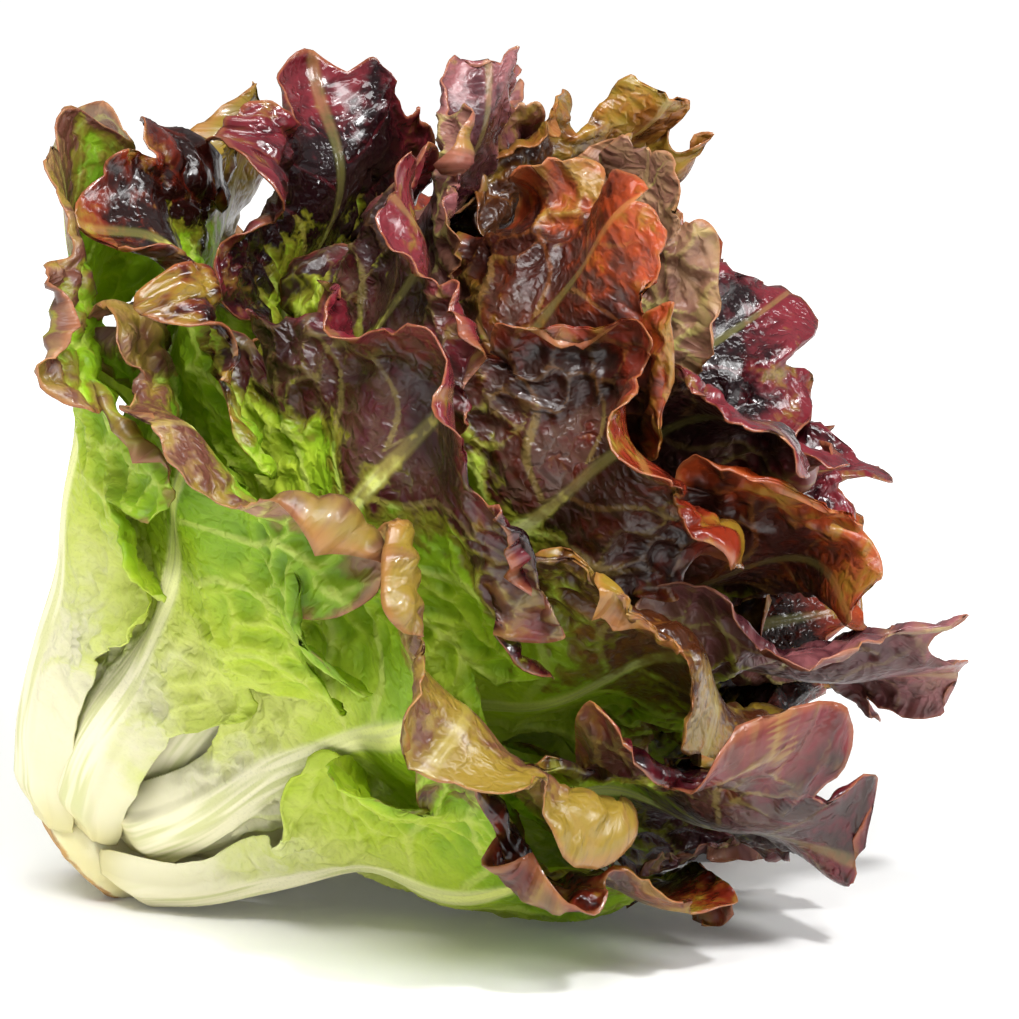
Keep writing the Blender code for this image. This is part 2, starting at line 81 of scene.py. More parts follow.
# The leaves in order of age, the oldest first
LEAF_COUNT = 30
OUTER_COUNT = 11
MIDDLE_COUNT = 11
GOLDEN_ANGLE = math.radians(137.5)
OLDEST_OPENING = math.radians(42)
YOUNGEST_OPENING = math.radians(8)
FLATTENED = 0.12
OLDEST_ROOT = 9 * MM
YOUNGEST_ROOT = 72 * MM
ROOT_GAP = 0.35 * MM

# Blade sizes, from the youngest leaf to the oldest
BLADE_THICKNESS = 0.8 * MM
RIB_THICKNESS = (2.2 * MM, 4.6 * MM)
RIB_HALF_WIDTH = (3.5 * MM, 6.8 * MM)
RIB_TIP_HALF_WIDTH = 1.2 * MM
LEAF_LENGTH = (184 * MM, 194 * MM)
LEAF_HALF_WIDTH = (38 * MM, 56 * MM)
RUFFLE_HEIGHT = (3.5 * MM, 7.0 * MM)
CRUMPLE_HEIGHT = 1.6 * MM
OPENS_POWER = 0.9
LENGTHENS = 1.6
BROADENS = 1.5
LEAF_SEED = 700

# How a leaf's outline runs, in shares of its length and of its half width. A pair says where along
# the leaf a form begins and over how much of its length it comes in, or goes out, here and below
CLASP = 0.35
CLASP_OVER = 0.1
FOOT_SHARE = 0.12
WIDENS = (0.17, 0.46)
WIDENS_POWER = 1.35
TIP_RIB_SHARE = 0.27
RIB_SPREADS = (0.35, 0.45)
RIB_NARROWS_POWER = 0.8
RIB_THINS_POWER = 1.1
LOBE_DEPTH = 0.3
LOBE_ROUND = 0.7
CUT_POWER = 0.6
LOBES_IN = (0.3, 0.15)
LOBES_OUT = (0.9, 0.06)
CROWN_LOBES_LESS = 0.55
CROWN_FROM = 0.55
CROWN_ROUND = 0.43
TOP_NOTCH = 0.47
TOP_NOTCH_WIDTH = 0.1
TOP_NOTCH_DEPTH = 0.07

# How a leaf bends: flared at its foot, wrapped round those inside it, waved along its margin
FLARE = math.radians(14)
FLARE_OVER = 0.16
BEND_FROM = 0.35
WRAP = 1.1
LEAST_WRAP = 1.25
CURLS = (0.3, 0.3)
SLICES = 14
WAVES_IN = (0.1, 0.3)
WAVES_POWER = 1.8
WAVES_LAG = 0.3
TIP_WAVE = 0.55
TIP_WAVE_FROM = 0.78
TIP_WAVE_TURNS = 1.2
CRUMPLES = ((9, 5), (14, -6), (20, 9))
CRUMPLES_IN = (0.15, 0.3)
SPINE_STEPS = 241

# The grid of a plain blade: rows from root to tip, columns from margin to margin
FOOT = 0.34
FOOT_ROWS = 3
OUTER_ROWS = 11
INNER_ROWS = 8
RIB_EDGE = 0.2
COLUMNS = (-1.0, -0.74, -0.47, -RIB_EDGE, 0.0, RIB_EDGE, 0.47, 0.74, 1.0)
ROWS_PER_LOBE = 3

# How often the direction of a blade's thickness is evened out between neighbouring places
NORMAL_PASSES = 2

# The room between leaves, kept on a fan of cells about a centre below the butt
CLEARANCE = 0.4 * MM
FAN_DEPTH = 20 * MM
CROWD_RINGS = 130
CROWD_RING = 2.5 * MM
CROWD_SECTORS = 144
EASING_CELLS = 8

# The heart: small young leaves on a core at the stem's tip
HEART_COUNT = 6
HEART_COLUMNS = (-1.0, -0.5, 0.0, 0.5, 1.0)
HEART_AT = 79 * MM
HEART_CORE = (4.4 * MM, 1.5 * MM, 30 * MM)
HEART_LENGTH = (60 * MM, 92 * MM)
HEART_HALF_WIDTH = (11 * MM, 17 * MM)
HEART_RIB = (1.6 * MM, 0.8 * MM)
HEART_SUNK = 2.2 * MM
HEART_RISE = 14 * MM
HEART_SEED = 40

# What single leaves do beyond the rule, by their place in the spiral: lengths in millimetres,
# angles in degrees
SHAPED = {
    0: {"length": 186, "opening": 35, "roll": 45, "azimuth": 22, "twist": 30},
    1: {"length": 172, "opening": 38, "roll": 35, "roll_from": 0.6, "curl": 40, "azimuth": 134,
        "twist": -20},
    2: {"length": 182},
    3: {"length": 168, "opening": 37, "roll": 75, "curl": 20},
    4: {"length": 178, "opening": 45.5, "roll": 0, "azimuth": 210, "curl": 85, "twist": 0},
    5: {"length": 190, "opening": 34, "twist": -50},
    6: {"length": 170, "roll": 85, "roll_from": 0.66},
    7: {"length": 178, "opening": 41, "roll": 60, "azimuth": 238},
    8: {"length": 182, "roll": 60, "twist": 30},
    9: {"length": 192, "opening": 29, "roll": 60, "twist": 30},
    11: {"length": 178, "roll": 60},
    13: {"length": 192, "roll": 35, "twist": 50},
    14: {"length": 186, "roll": 110, "roll_from": 0.68, "curl": 70},
    16: {"length": 186, "roll": 50, "twist": 30},
    17: {"length": 196, "roll": 45, "twist": 50},
    18: {"length": 196, "roll": 30, "twist": -55},
    19: {"length": 182, "roll": 80},
    21: {"length": 196, "twist": 45},
    22: {"length": 190, "roll": 60, "twist": 40},
    26: {"length": 196, "roll": 20, "twist": 60},
    27: {"length": 186, "roll": 90, "roll_from": 0.66},
}

# How fine the pieces are: rows along a leaf and columns of each half blade, for a leaf that shows,
# for the hidden ones behind it and for the heart's
FINE_GRID = (124, 32)
BACK_GRID = (70, 17)
HEART_GRID = (44, 10)
RIB_COLUMNS = 11
FINE_NORMAL_PASSES = 4
HIDDEN = (2, 7, 10, 12, 15, 20, 23, 25, 28)

# How much wider the fine leaf is above its foot and in its crown, where the head would show gaps
WIDER = {0: (0.45, 0.2), 3: (0.25, 0.12), 8: (0.4, 0.1), 16: (0.3, 0.0)}
WIDER_IN = (0.05, 0.1)
WIDER_CROWN = (0.3, 0.15)

# How far the lobes of a leaf lean that would else be seen edge on, as a share
LEANING = {11: -1.0}
TOP_LEANS = (0.82, 0.18)
LEANING_OUT = (0.88, 0.1)

# Scallops of the margin, counted by the angle round the crown, and stronger low on the blade
CROWN_STRETCH = 2.2
CROWN_NEAR_POWER = 2.5
SCALLOP_TURNS = 6.3
SCALLOP_ROUND = 0.8
SCALLOP_MIDDLE = 0.6
SCALLOP_UPWARDS = 0.55
SCALLOPS_IN = (0.18, 0.12)
LOW_SCALLOPS = 0.7
LOW_SCALLOPS_OUT = (0.3, 0.3)

# A leaf's foot, which runs down the stem and into it
HEEL_WIDENS_OVER = 0.15
DROP_OVER = 0.12
DROP_POWER = 1.5
DROP_INWARDS = 0.3
DROP_INWARDS_OVER = 0.03
HEEL_OVER = 0.06
HEEL_THIN = 0.3
HEEL_SUNK = (2.6 * MM, 2.5 * MM)

# Blisters, side veins and flutes of the fine blade
BLADE_IN = (0.1, 0.2)
BLADE_BESIDE_RIB = (0.6 * RIB_EDGE, 0.25)
NET_SWAY = 1.6 * MM
NET_SWAY_TURNS = 420
SMALL_BLISTER = 0.45
SMALL_BLISTER_HEIGHT = 0.22
BLISTER_SUNK = 0.35
SEAM_WIDTH = 0.55
VEIN_WIDTH = 1.3 * MM
VEIN_SLANT = 0.95
VEIN_BENDS_UP = 11.52
VEIN_SWAY = 0.12
VEIN_SWAY_TURNS = (190, 140)
VEIN_FADES = 0.6
VEIN_SMOOTH = 0.8
VEIN_THICK = 0.8
FLUTES = 1.5
FLUTES_POWER = 1.2
RIB_SEEN_FROM = 0.25
RIB_SEEN_OVER = (0.6, 0.9)
MARGIN_THIN = 0.45
LEAST_THICKNESS = 0.35 * MM
OFF_SURFACE = 0.05 * MM

# Folds and frills of the margin, by the angle round the crown
FOLDS_IN = (0.3, 0.2)
FOLD_TURNS = (9, 15)
SECOND_FOLD = 0.35
FOLDS_EASE = 0.45
FOLDS_EASE_TURNS = 2.3
FRILLS_IN = (0.2, 0.2)
FRILL_TURNS = 25

# The flat map of a leaf, in centimetres, and how far apart the leaves' maps lie, in metres
MAP_SCALE = 100
MAP_STEP = (0.31, 0.17)
HEART_MAP = (9.0, 2.0)
HEART_MAP_STEP = 0.3

# How a leaf ripens: over how much of its length, and how far ahead its margin is
RIPENS_OVER = 0.14
MARGIN_AHEAD = 0.22
HEART_RED_FROM = 0.75
HEART_RIPENS_OVER = 0.2
HEART_LOPSIDED = 0.2
HEART_NET_SEED = 60

# The fine butt: its collar, uneven flesh, old scars as low arcs, and a torn and lined cut. A pair
# says from which radius or height a form comes in, or where it ends, and over how much
SIDE_IN = (0.7 * BUTT_RADIUS, 0.25 * BUTT_RADIUS)
SIDE_OUT = (20 * MM, 4 * MM)
COLLAR = 2.6 * MM
COLLAR_IN = (-1 * MM, 5 * MM)
COLLAR_OUT = (19 * MM, 9 * MM)
UNEVEN = 0.35 * MM
SCAR_SEED = 5
SCAR_COUNT = 9
SCAR_HEIGHTS = (2.5 * MM, 9 * MM)
SCAR_HALF_TURNS = (0.25, 0.5)
SCAR_BEND = 2.2 * MM
SCAR_WIDTH = 0.8 * MM
SCAR_RISE = 0.7 * MM
SCAR_MARK = 0.55
TORN = 0.45 * MM
TORN_OUT = (2.5 * MM, 2.5 * MM)
CUT_LINES = 0.12 * MM
CUT_LINES_TURNS = 2400
CUT_LINES_OUT = (1.5 * MM, 1.5 * MM)
RIM_IN = (0.62 * BUTT_RADIUS, 0.35 * BUTT_RADIUS)
RIM_OUT = (5 * MM, 4 * MM)
PALE_UP_TO = 14 * MM
SIDE_STEPS = 23
CORNER_STEPS = 6
FACE_STEPS = 11
AXIS_GAP = 0.01 * MM

# Bump of the materials
BLADE_BUMP = 1.1 * MM
FLESH_BUMP = 0.8 * MM

# The photograph's frame: its width in pixels, what a pixel spans, and the place it is centred on
IMAGE_WIDTH = 1019
PIXEL = 0.27 * MM
CENTRE_BEYOND_BUTT = 118 * MM
CENTRE_HEIGHT = 106 * MM
SENSOR = 36.0
FLOOR_HALF_SIZE = 30.0
# The floor's painted glow: the distances from the head over which it grows, and its colour at each end
FLOOR_PAINTED_GLOW_RANGE = (0.1, 0.75)
FLOOR_PAINTED_GLOW_COLOURS = ((0.05, 0.05, 0.05), (0.7, 0.7, 0.69))
SEEN_WORLD = 0.95
NOISE_THRESHOLD = 0.25
BOUNCES = 5
DIFFUSE_BOUNCES = 3

# The lamps: where each one stands, and its width and depth
LAMPS = {
    "key": ((-0.3, -0.65, 1.3), (0.8, 0.6)),
    "side": ((0.9, -0.5, 0.8), (0.3, 0.5)),
    "sparkle": ((0.35, -0.7, 1.0), (0.12, 0.12)),
}
LAMPS_AIM = (0, 0, 0.1)


def rgb(red, green, blue):
    """A colour as shades of light, from its three values out of 255."""
    return tuple(((value / 255) ** 2.2) for value in (red, green, blue))


def leaf_look(dark, light, bronze, dusty, gloss):
    """A leaf's dark and light red, how bronze or dusty it is, and how glossy."""
    return SimpleNamespace(dark=rgb(*dark), light=rgb(*light), bronze=bronze, dusty=dusty, gloss=gloss)


LOOKS = {
    "purple": leaf_look((28, 10, 15), (108, 36, 44), bronze=0.15, dusty=0.22, gloss=1.0),
    "maroon": leaf_look((30, 12, 10), (122, 42, 26), bronze=0.35, dusty=0.2, gloss=0.9),
    "rust": leaf_look((46, 16, 11), (158, 62, 27), bronze=0.5, dusty=0.15, gloss=0.8),
    "bronze": leaf_look((62, 33, 18), (150, 92, 38), bronze=0.75, dusty=0.35, gloss=0.65),
    "olive": leaf_look((100, 62, 50), (158, 120, 68), bronze=1.0, dusty=0.45, gloss=0.5),
    "dusty": leaf_look((94, 58, 46), (158, 122, 92), bronze=0.6, dusty=0.9, gloss=0.35),
    "mauve": leaf_look((62, 30, 36), (138, 84, 86), bronze=0.3, dusty=0.5, gloss=0.75),
}

# Each leaf's look, how far up it turns red, and by how much one side is riper than the other
LEAF_LOOKS = {
    0: ("dusty", 0.79, 0.4), 1: ("maroon", 0.64, 0.3), 2: ("rust", 0.55, 0.2),
    3: ("dusty", 0.76, -0.5), 4: ("mauve", 0.6, 0.0), 5: ("olive", 0.66, 0.4),
    6: ("olive", 0.61, 0.3), 7: ("mauve", 0.56, 0.0), 8: ("maroon", 0.67, -0.6),
    9: ("purple", 0.5, 0.5), 10: ("maroon", 0.52, 0.3), 11: ("purple", 0.58, -1.1),
    12: ("maroon", 0.5, 0.0), 13: ("purple", 0.5, 0.4), 14: ("bronze", 0.5, -0.4),
    15: ("purple", 0.5, 0.2), 16: ("purple", 0.46, 0.5), 17: ("mauve", 0.42, 0.3),
    18: ("mauve", 0.42, -0.3), 19: ("maroon", 0.42, 0.5), 20: ("rust", 0.42, 0.0),
    21: ("mauve", 0.42, 0.4), 22: ("rust", 0.42, -0.7), 23: ("maroon", 0.4, 0.0),
    24: ("rust", 0.4, 0.3), 25: ("purple", 0.4, 0.0), 26: ("bronze", 0.4, 0.3),
    27: ("purple", 0.38, 0.2), 28: ("purple", 0.38, 0.0), 29: ("dusty", 0.38, 0.4),
}


def smooth(value):
    value = np.clip(value, 0.0, 1.0)
    return value * value * (3 - 2 * value)


def rises(value, start, over):
    """A soft step from 0 at start to 1 at start plus over."""
    return smooth((value - start) / over)


def falls(value, end, over):
    """A soft step from 1 at end less over to 0 at end."""
    return smooth((end - value) / over)


def between(pair, age):
    return pair[0] + (pair[1] - pair[0]) * age


def stem_radius(height):
    """The stem's radius where a leaf grows from it."""
    along = np.clip((height - BUTT_HEIGHT) / (STEM_LENGTH - BUTT_HEIGHT), 0.0, 1.0)
    return BUTT_RADIUS + (STEM_TIP_RADIUS - BUTT_RADIUS) * along


def flattened(index):
    """The head is a little flatter from front to back than from top to bottom."""
    return 1 - FLATTENED * math.sin(index * GOLDEN_ANGLE) ** 2


def leaf_plan(index):
    """The measures of one leaf, by the rule for its age and then by what is its own."""
    age = 1 - index / (LEAF_COUNT - 1)
    draw = random.Random(LEAF_SEED + index)
    plan = {
        "azimuth": index * GOLDEN_ANGLE,
        "opening": between((YOUNGEST_OPENING, OLDEST_OPENING), age**OPENS_POWER) * flattened(index),
        "root": between((YOUNGEST_ROOT, OLDEST_ROOT), age),
        "sunk": 0.0,
        "length": between(LEAF_LENGTH, smooth(age * LENGTHENS)),
        "half_width": between(LEAF_HALF_WIDTH, smooth(age * BROADENS)) * draw.uniform(0.92, 1.06),
        "rib": between(RIB_HALF_WIDTH, age),
        "rib_thickness": between(RIB_THICKNESS, age),
        "ruffle": between(RUFFLE_HEIGHT, age) * draw.uniform(0.9, 1.1),
        "rows": OUTER_ROWS if index < OUTER_COUNT + 4 else INNER_ROWS,
        "columns": COLUMNS,
        "flare": FLARE,
        "bend": math.radians(draw.uniform(-6, 10)),
        "roll": math.radians(draw.uniform(10, 55)),
        "roll_from": draw.uniform(0.72, 0.8),
        "curl": math.radians(draw.uniform(15, 60)),
        "sway": draw.uniform(-0.08, 0.08),
        "twist": math.radians(draw.uniform(-25, 25)),
        "waves": draw.uniform(3.6, 4.4),
        "phases": [draw.uniform(0, 2 * math.pi) for _ in range(9)],
        "wider": WIDER.get(index, (0.0, 0.0)),
        "leaning": LEANING.get(index, 1.0),
    }
    for name, value in SHAPED.get(index, {}).items():
        scale = MM if name == "length" else 1 if name == "roll_from" else math.pi / 180
        plan[name] = value * scale
    return plan


def side_of(across):
    return np.where(across < 0, -1.0, 1.0)


def beyond_rib(reach):
    """How far a place lies from the rib's edge to the margin, from 0 to 1."""
    return np.clip((reach - RIB_EDGE) / (1 - RIB_EDGE), 0, 1)


def crown_share(along):
    """How far a place is from the middle of the round crown to its top."""
    return np.clip((along - CROWN_FROM) / (1 - CROWN_FROM), 0.0, 1.0)


def half_width(plan, along, side, crown_round):
    """The blade's flat half width, with a narrow foot and a round crown, and how deep it is cut."""
    crown = FOOT_SHARE + (1 - FOOT_SHARE) * rises(along, *WIDENS) ** WIDENS_POWER
    crown = crown * np.sqrt(1 - crown_round * crown_share(along) ** 2)
    notch = 1 - np.abs(np.sin(np.pi * lobe_place(plan, along, side))) ** LOBE_ROUND
    lobed = rises(along, *LOBES_IN) * (1 - CROWN_LOBES_LESS * crown_share(along))
    lobed = lobed * (1 - rises(along, *LOBES_OUT))
    return rib_half_width(plan, along) + plan["half_width"] * crown, notch * lobed


def lobe_place(plan, along, side):
    """A count of lobes up each side, whole at the notches between them."""
    row = plan["rows"] * (along - FOOT) / (1 - FOOT)
    return (row - np.where(side < 0, plan["rows"] - 2, plan["rows"] - 3)) / ROWS_PER_LOBE


def crown_place(along, reach, crown_round):
    """How far up the rib a place lies, with the crown's top bent round into lobes."""
    share = crown_share(along)
    rounded = CROWN_FROM + (1 - CROWN_FROM) * share * np.sqrt(1 - crown_round * reach**2)
    notch = np.exp(-(((reach - TOP_NOTCH) / TOP_NOTCH_WIDTH) ** 2) / 2)
    return np.where(along < CROWN_FROM, along, rounded) - TOP_NOTCH_DEPTH * share**4 * notch


def rib_half_width(plan, along):
    clasp = 1 + CLASP * (1 - smooth(along / CLASP_OVER))
    narrows = (1 - along) ** RIB_NARROWS_POWER
    return RIB_TIP_HALF_WIDTH + (plan["rib"] - RIB_TIP_HALF_WIDTH) * narrows * clasp


def rib_ridge(reach):
    """How much a place belongs to the rib's ridge, from 1 on its middle down to 0 beside it."""
    return 1 - smooth(reach / (2 * RIB_EDGE))


def blade_thickness(plan, along, across):
    """The blade's thickness, with the rib standing out on the underside."""
    ridge = rib_ridge(np.abs(across))
    return BLADE_THICKNESS + plan["rib_thickness"] * (1 - along) ** RIB_THINS_POWER * ridge


def spine(plan):
    """Distance out, distance along and heading at even steps up the midrib."""
    steps = np.linspace(0, 1, SPINE_STEPS)
    heading = (
        plan["opening"]
        + plan["flare"] * (1 - smooth(steps / FLARE_OVER))
        + plan["bend"] * (steps - BEND_FROM)
        + plan["roll"] * rises(steps, plan["roll_from"], 1 - plan["roll_from"])
    )
    middle = (heading[1:] + heading[:-1]) / 2
    length = plan["length"] / (len(steps) - 1)
    out = np.concatenate([[0.0], np.cumsum(np.sin(middle))]) * length
    up = np.concatenate([[0.0], np.cumsum(np.cos(middle))]) * length
    return steps, out, up, heading


def nearness(along, across):
    """How near a place is to the leaf's margin, from 0 on the rib to 1 on the margin."""
    below_top = 1 - crown_share(along) ** CROWN_NEAR_POWER
    return 1 - (1 - beyond_rib(np.abs(across)) ** 2) * below_top


def margin_turn(along, across):
    """The angle round the crown's middle at which a place lies."""
    return np.arctan2(np.abs(across), (along - CROWN_FROM) * CROWN_STRETCH)


def scallops(plan, along, across):
    """Small waves of the outline round the margin, outwards above 0 and inwards below."""
    wave = SCALLOP_TURNS * margin_turn(along, across) + plan["phases"][6] + side_of(across)
    wavy = np.abs(np.sin(wave)) ** SCALLOP_ROUND - SCALLOP_MIDDLE
    wavy = wavy * nearness(along, across) ** 2 * rises(along, *SCALLOPS_IN)
    return wavy * (1 + LOW_SCALLOPS * (1 - rises(along, *LOW_SCALLOPS_OUT)))


def leaf_surface(plan, along, across, fine=None):
    """Points of the leaf's upper face in the upright head, and where they lie on the flat leaf.

    along runs from 0 at the root to 1 at the tip, and across from -1 to 1 between the margins.
    fine gives the outline of the fine leaf instead of the plain solid's.
    """
    steps, out, up, heading = spine(plan)
    phase = plan["phases"]
    side = side_of(across)
    reach = np.abs(across)
    beyond = beyond_rib(reach)
    scallop = scallops(plan, along, across) * fine.scallop if fine else 0.0
    crown_round = fine.crown_round if fine else CROWN_ROUND
    lobe_depth = fine.lobe_depth if fine else LOBE_DEPTH
    place = crown_place(along, reach, crown_round) + SCALLOP_UPWARDS * scallop * crown_share(along)
    rib = rib_half_width(plan, along)
    width, cut = half_width(plan, along, side, crown_round)
    edge = rib + (TIP_RIB_SHARE * width - rib) * rises(along, *RIB_SPREADS)
    lateral = np.where(reach < RIB_EDGE, edge * reach / RIB_EDGE, edge + (width - edge) * beyond)
    lateral = lateral * (1 - lobe_depth * cut * beyond**CUT_POWER) * (1 + scallop)
    if fine:
        heel = fine.heel_width + (1 - fine.heel_width) * smooth(along / HEEL_WIDENS_OVER)
        wider = rises(along, *WIDER_IN) * between(plan["wider"], rises(along, *WIDER_CROWN))
        lateral = lateral * heel * (1 + wider)

    outwards = np.interp(place, steps, out)
    upwards = np.interp(place, steps, up)
    lean = np.interp(place, steps, heading)
    root_radius = stem_radius(plan["root"]) + ROOT_GAP - plan["sunk"]
    wrap = np.maximum((root_radius + outwards) * WRAP, width / LEAST_WRAP)
    curl = plan["curl"] * rises(along, *CURLS)

    sideways = np.zeros_like(lateral)
    lift = np.zeros_like(lateral)
    for number in range(SLICES):
        part = lateral * (number + 0.5) / SLICES
        slope = -part / wrap + curl * (part / width) ** 3
        sideways += np.cos(slope) * lateral / SLICES
        lift += np.sin(slope) * lateral / SLICES

    margin = beyond**WAVES_POWER * rises(along, *WAVES_IN)
    turns = plan["waves"] * along - WAVES_LAG * reach
    wave = np.sin(2 * np.pi * turns + np.where(side < 0, phase[0], phase[1]))
    tip = rises(along, TIP_WAVE_FROM, 1 - TIP_WAVE_FROM)
    tip_wave = tip * np.sin(2 * np.pi * TIP_WAVE_TURNS * across + phase[2])
    lift += plan["ruffle"] * (margin * wave + TIP_WAVE * tip_wave)
    flat = lateral * side / plan["half_width"]
    grown = rises(along, *CRUMPLES_IN)
    for (lengthwise, crosswise), start in zip(CRUMPLES, phase[3:]):
        crumple = np.sin(lengthwise * place + crosswise * flat + start)
        lift += CRUMPLE_HEIGHT * crumple * grown

    sideways = sideways * side + plan["sway"] * plan["length"] * place**2
    twist = plan["twist"] * place**3
    across_part = sideways * np.cos(twist) - lift * np.sin(twist)
    out_part = sideways * np.sin(twist) + lift * np.cos(twist)

    radial = root_radius + outwards + out_part * np.cos(lean)
    height = plan["root"] + upwards - out_part * np.sin(lean)
    if fine:
        low = 1 - smooth(along / DROP_OVER)
        height = height - fine.heel_drop * low**DROP_POWER
        inwards = DROP_INWARDS * fine.heel_drop * low * smooth(along / DROP_INWARDS_OVER)
        radial = radial - inwards
    cosine, sine = math.cos(plan["azimuth"]), math.sin(plan["azimuth"])
    forward = radial * cosine - across_part * sine
    beside = radial * sine + across_part * cosine
    points = np.stack([forward, beside, height], axis=-1)
    return points, np.stack([lateral * side, place * plan["length"]], axis=-1)


def leaf_grid(plan):
    """The places of the plain solid's grid, a row for each line across the leaf."""
    foot = np.linspace(0, FOOT, FOOT_ROWS + 1)
    blade = np.linspace(FOOT, 1, plan["rows"] + 1)
    return np.meshgrid(np.concatenate([foot, blade[1:]]), np.array(plan["columns"]), indexing="ij")


def fine_grid(rows, columns):
    """The places of a fine grid, closer together on the rib."""
    rib = np.linspace(-RIB_EDGE, RIB_EDGE, RIB_COLUMNS)
    blade = np.linspace(RIB_EDGE, 1, columns + 1)[1:]
    across = np.concatenate([-blade[::-1], rib, blade])
    return np.meshgrid(np.linspace(0, 1, rows), across, indexing="ij")


def grid_normals(points, passes=NORMAL_PASSES):
    """The underside's direction at each point of a grid."""
    ahead = np.gradient(points, axis=0)
    beside = np.gradient(points, axis=1)
    normal = np.cross(beside, ahead)
    for _ in range(passes):
        normal = normal / np.maximum(np.linalg.norm(normal, axis=-1, keepdims=True), 1e-12)
        framed = np.pad(normal, ((1, 1), (1, 1), (0, 0)), mode="edge")
        around = framed[2:, 1:-1] + framed[:-2, 1:-1] + framed[1:-1, 2:] + framed[1:-1, :-2]
        normal = normal + around / 4
    return normal / np.linalg.norm(normal, axis=-1, keepdims=True)


def fan_places(points):
    """Distance from the fan's centre, azimuth and opening angle of points in the head's frame."""
    height = points[..., 2] + FAN_DEPTH
    sideways = np.hypot(points[..., 0], points[..., 1])
    distance = np.hypot(sideways, height)
    return distance, np.arctan2(points[..., 1], points[..., 0]), np.arctan2(sideways, height)


def fan_points(distance, azimuth, opening):
    sideways = distance * np.sin(opening)
    height = distance * np.cos(opening) - FAN_DEPTH
    return np.stack([sideways * np.cos(azimuth), sideways * np.sin(azimuth), height], axis=-1)


def dense(grid, parts=8):
    """A grid of points with each of its cells cut into parts each way."""
    for axis in (0, 1):
        count = grid.shape[axis]
        at = np.linspace(0, count - 1, (count - 1) * parts + 1)
        low = np.minimum(at.astype(int), count - 2)
        share = (at - low).reshape([-1 if k == axis else 1 for k in range(3)])
        grid = np.take(grid, low, axis) * (1 - share) + np.take(grid, low + 1, axis) * share
    return grid


class Crowd:
    """How far open the head already reaches, over distance from the fan's centre and azimuth."""

    def __init__(self):
        self.taken = np.zeros((CROWD_RINGS, CROWD_SECTORS))

    def cells(self, points):
        distance, azimuth, opening = fan_places(points.reshape(-1, 3))
        ring = np.clip((distance / CROWD_RING).astype(int), 0, CROWD_RINGS - 1)
        sector = np.floor(azimuth / (2 * np.pi) * CROWD_SECTORS).astype(int) % CROWD_SECTORS
        return ring, sector, opening

    def room_for(self, inside):
        """How much further a leaf has to open in each cell so that its inside clears the rest."""
        ring, sector, opening = self.cells(inside)
        need = np.zeros_like(self.taken)
        np.maximum.at(need, (ring, sector), self.taken[ring, sector] - opening)
        for _ in range(EASING_CELLS + 1):
            need = np.maximum(need, np.maximum(np.roll(need, 1, 1), np.roll(need, -1, 1)))
            padded = np.pad(need, ((1, 1), (0, 0)), mode="edge")
            need = np.maximum(need, np.maximum(padded[2:], padded[:-2]))
        half = EASING_CELLS // 2
        for _ in range(2):
            need = sum(np.roll(need, k, 1) for k in range(-half, half + 1)) / (2 * half + 1)
            padded = np.pad(need, ((half, half), (0, 0)), mode="edge")
            need = sum(padded[k : k + CROWD_RINGS] for k in range(2 * half + 1)) / (2 * half + 1)
        return need

    def take(self, outside):
        ring, sector, opening = self.cells(outside)
        for ring_step in (-1, 0, 1):
            near = np.clip(ring + ring_step, 0, CROWD_RINGS - 1)
            for sector_step in (-1, 0, 1):
                beside = (sector + sector_step) % CROWD_SECTORS
                np.maximum.at(self.taken, (near, beside), opening)


def ease_open(points, room):
    """Points moved outwards by the room that their leaf needs, smoothly between the cells."""
    distance, azimuth, opening = fan_places(points)
    ring = np.clip(distance / CROWD_RING - 0.5, 0, CROWD_RINGS - 1.001)
    sector = azimuth / (2 * np.pi) * CROWD_SECTORS - 0.5
    low_ring, low_sector = np.floor(ring).astype(int), np.floor(sector).astype(int)
    ring_share, sector_share = ring - low_ring, sector - low_sector
    more = 0
    for step, share in ((0, 1 - ring_share), (1, ring_share)):
        for turn, part in ((0, 1 - sector_share), (1, sector_share)):
            more = more + room[low_ring + step, (low_sector + turn) % CROWD_SECTORS] * share * part
    return fan_points(distance, azimuth, opening + more)


def head_matrix():
    """How the upright head is laid down, its spiral starting at the top and turning frontwards."""
    sine, cosine = math.sin(AXIS_RISE), math.cos(AXIS_RISE)
    x, y, z = BUTT_AT
    return Matrix(((-sine, 0, cosine, x), (0, -1, 0, y), (cosine, 0, sine, z), (0, 0, 0, 1)))


def laid_down(points):
    matrix = np.array(head_matrix())
    return points @ matrix[:3, :3].T + matrix[:3, 3]


def pressed_up(lying, thickness):
    """Points of the lying head, with what the surface presses on moved up from it, softly."""
    share = smooth((lying[..., 0] - BUTT_AT[0] - PRESS_FROM) / PRESS_OVER)
    over = lying[..., 2] - thickness
    lifted = np.maximum(over, 0) + PRESS_SOFT * np.log1p(np.exp(-np.abs(over) / PRESS_SOFT))
    lying[..., 2] += share * (lifted - over)
    return lying


def heart_plan(number):
    """The measures of one small leaf of the heart."""
    age = 1 - number / (HEART_COUNT - 1)
    plan = leaf_plan(LEAF_COUNT - 1)
    draw = random.Random(HEART_SEED + number)
    plan.update(
        azimuth=(LEAF_COUNT + number) * GOLDEN_ANGLE,
        opening=math.radians(3 + 7 * age),
        root=HEART_AT + HEART_RISE * (1 - age),
        length=between(HEART_LENGTH, age),
        half_width=between(HEART_HALF_WIDTH, age),
        rib=HEART_RIB[0],
        rib_thickness=HEART_RIB[1],
        ruffle=CRUMPLE_HEIGHT,
        sunk=HEART_SUNK,
        rows=4,
        columns=HEART_COLUMNS,
        flare=0.0,
        bend=math.radians(-8),
        roll=math.radians(12),
        curl=math.radians(20),
        sway=0.0,
        twist=0.0,
        phases=[draw.uniform(0, 2 * math.pi) for _ in range(9)],
    )
    return plan


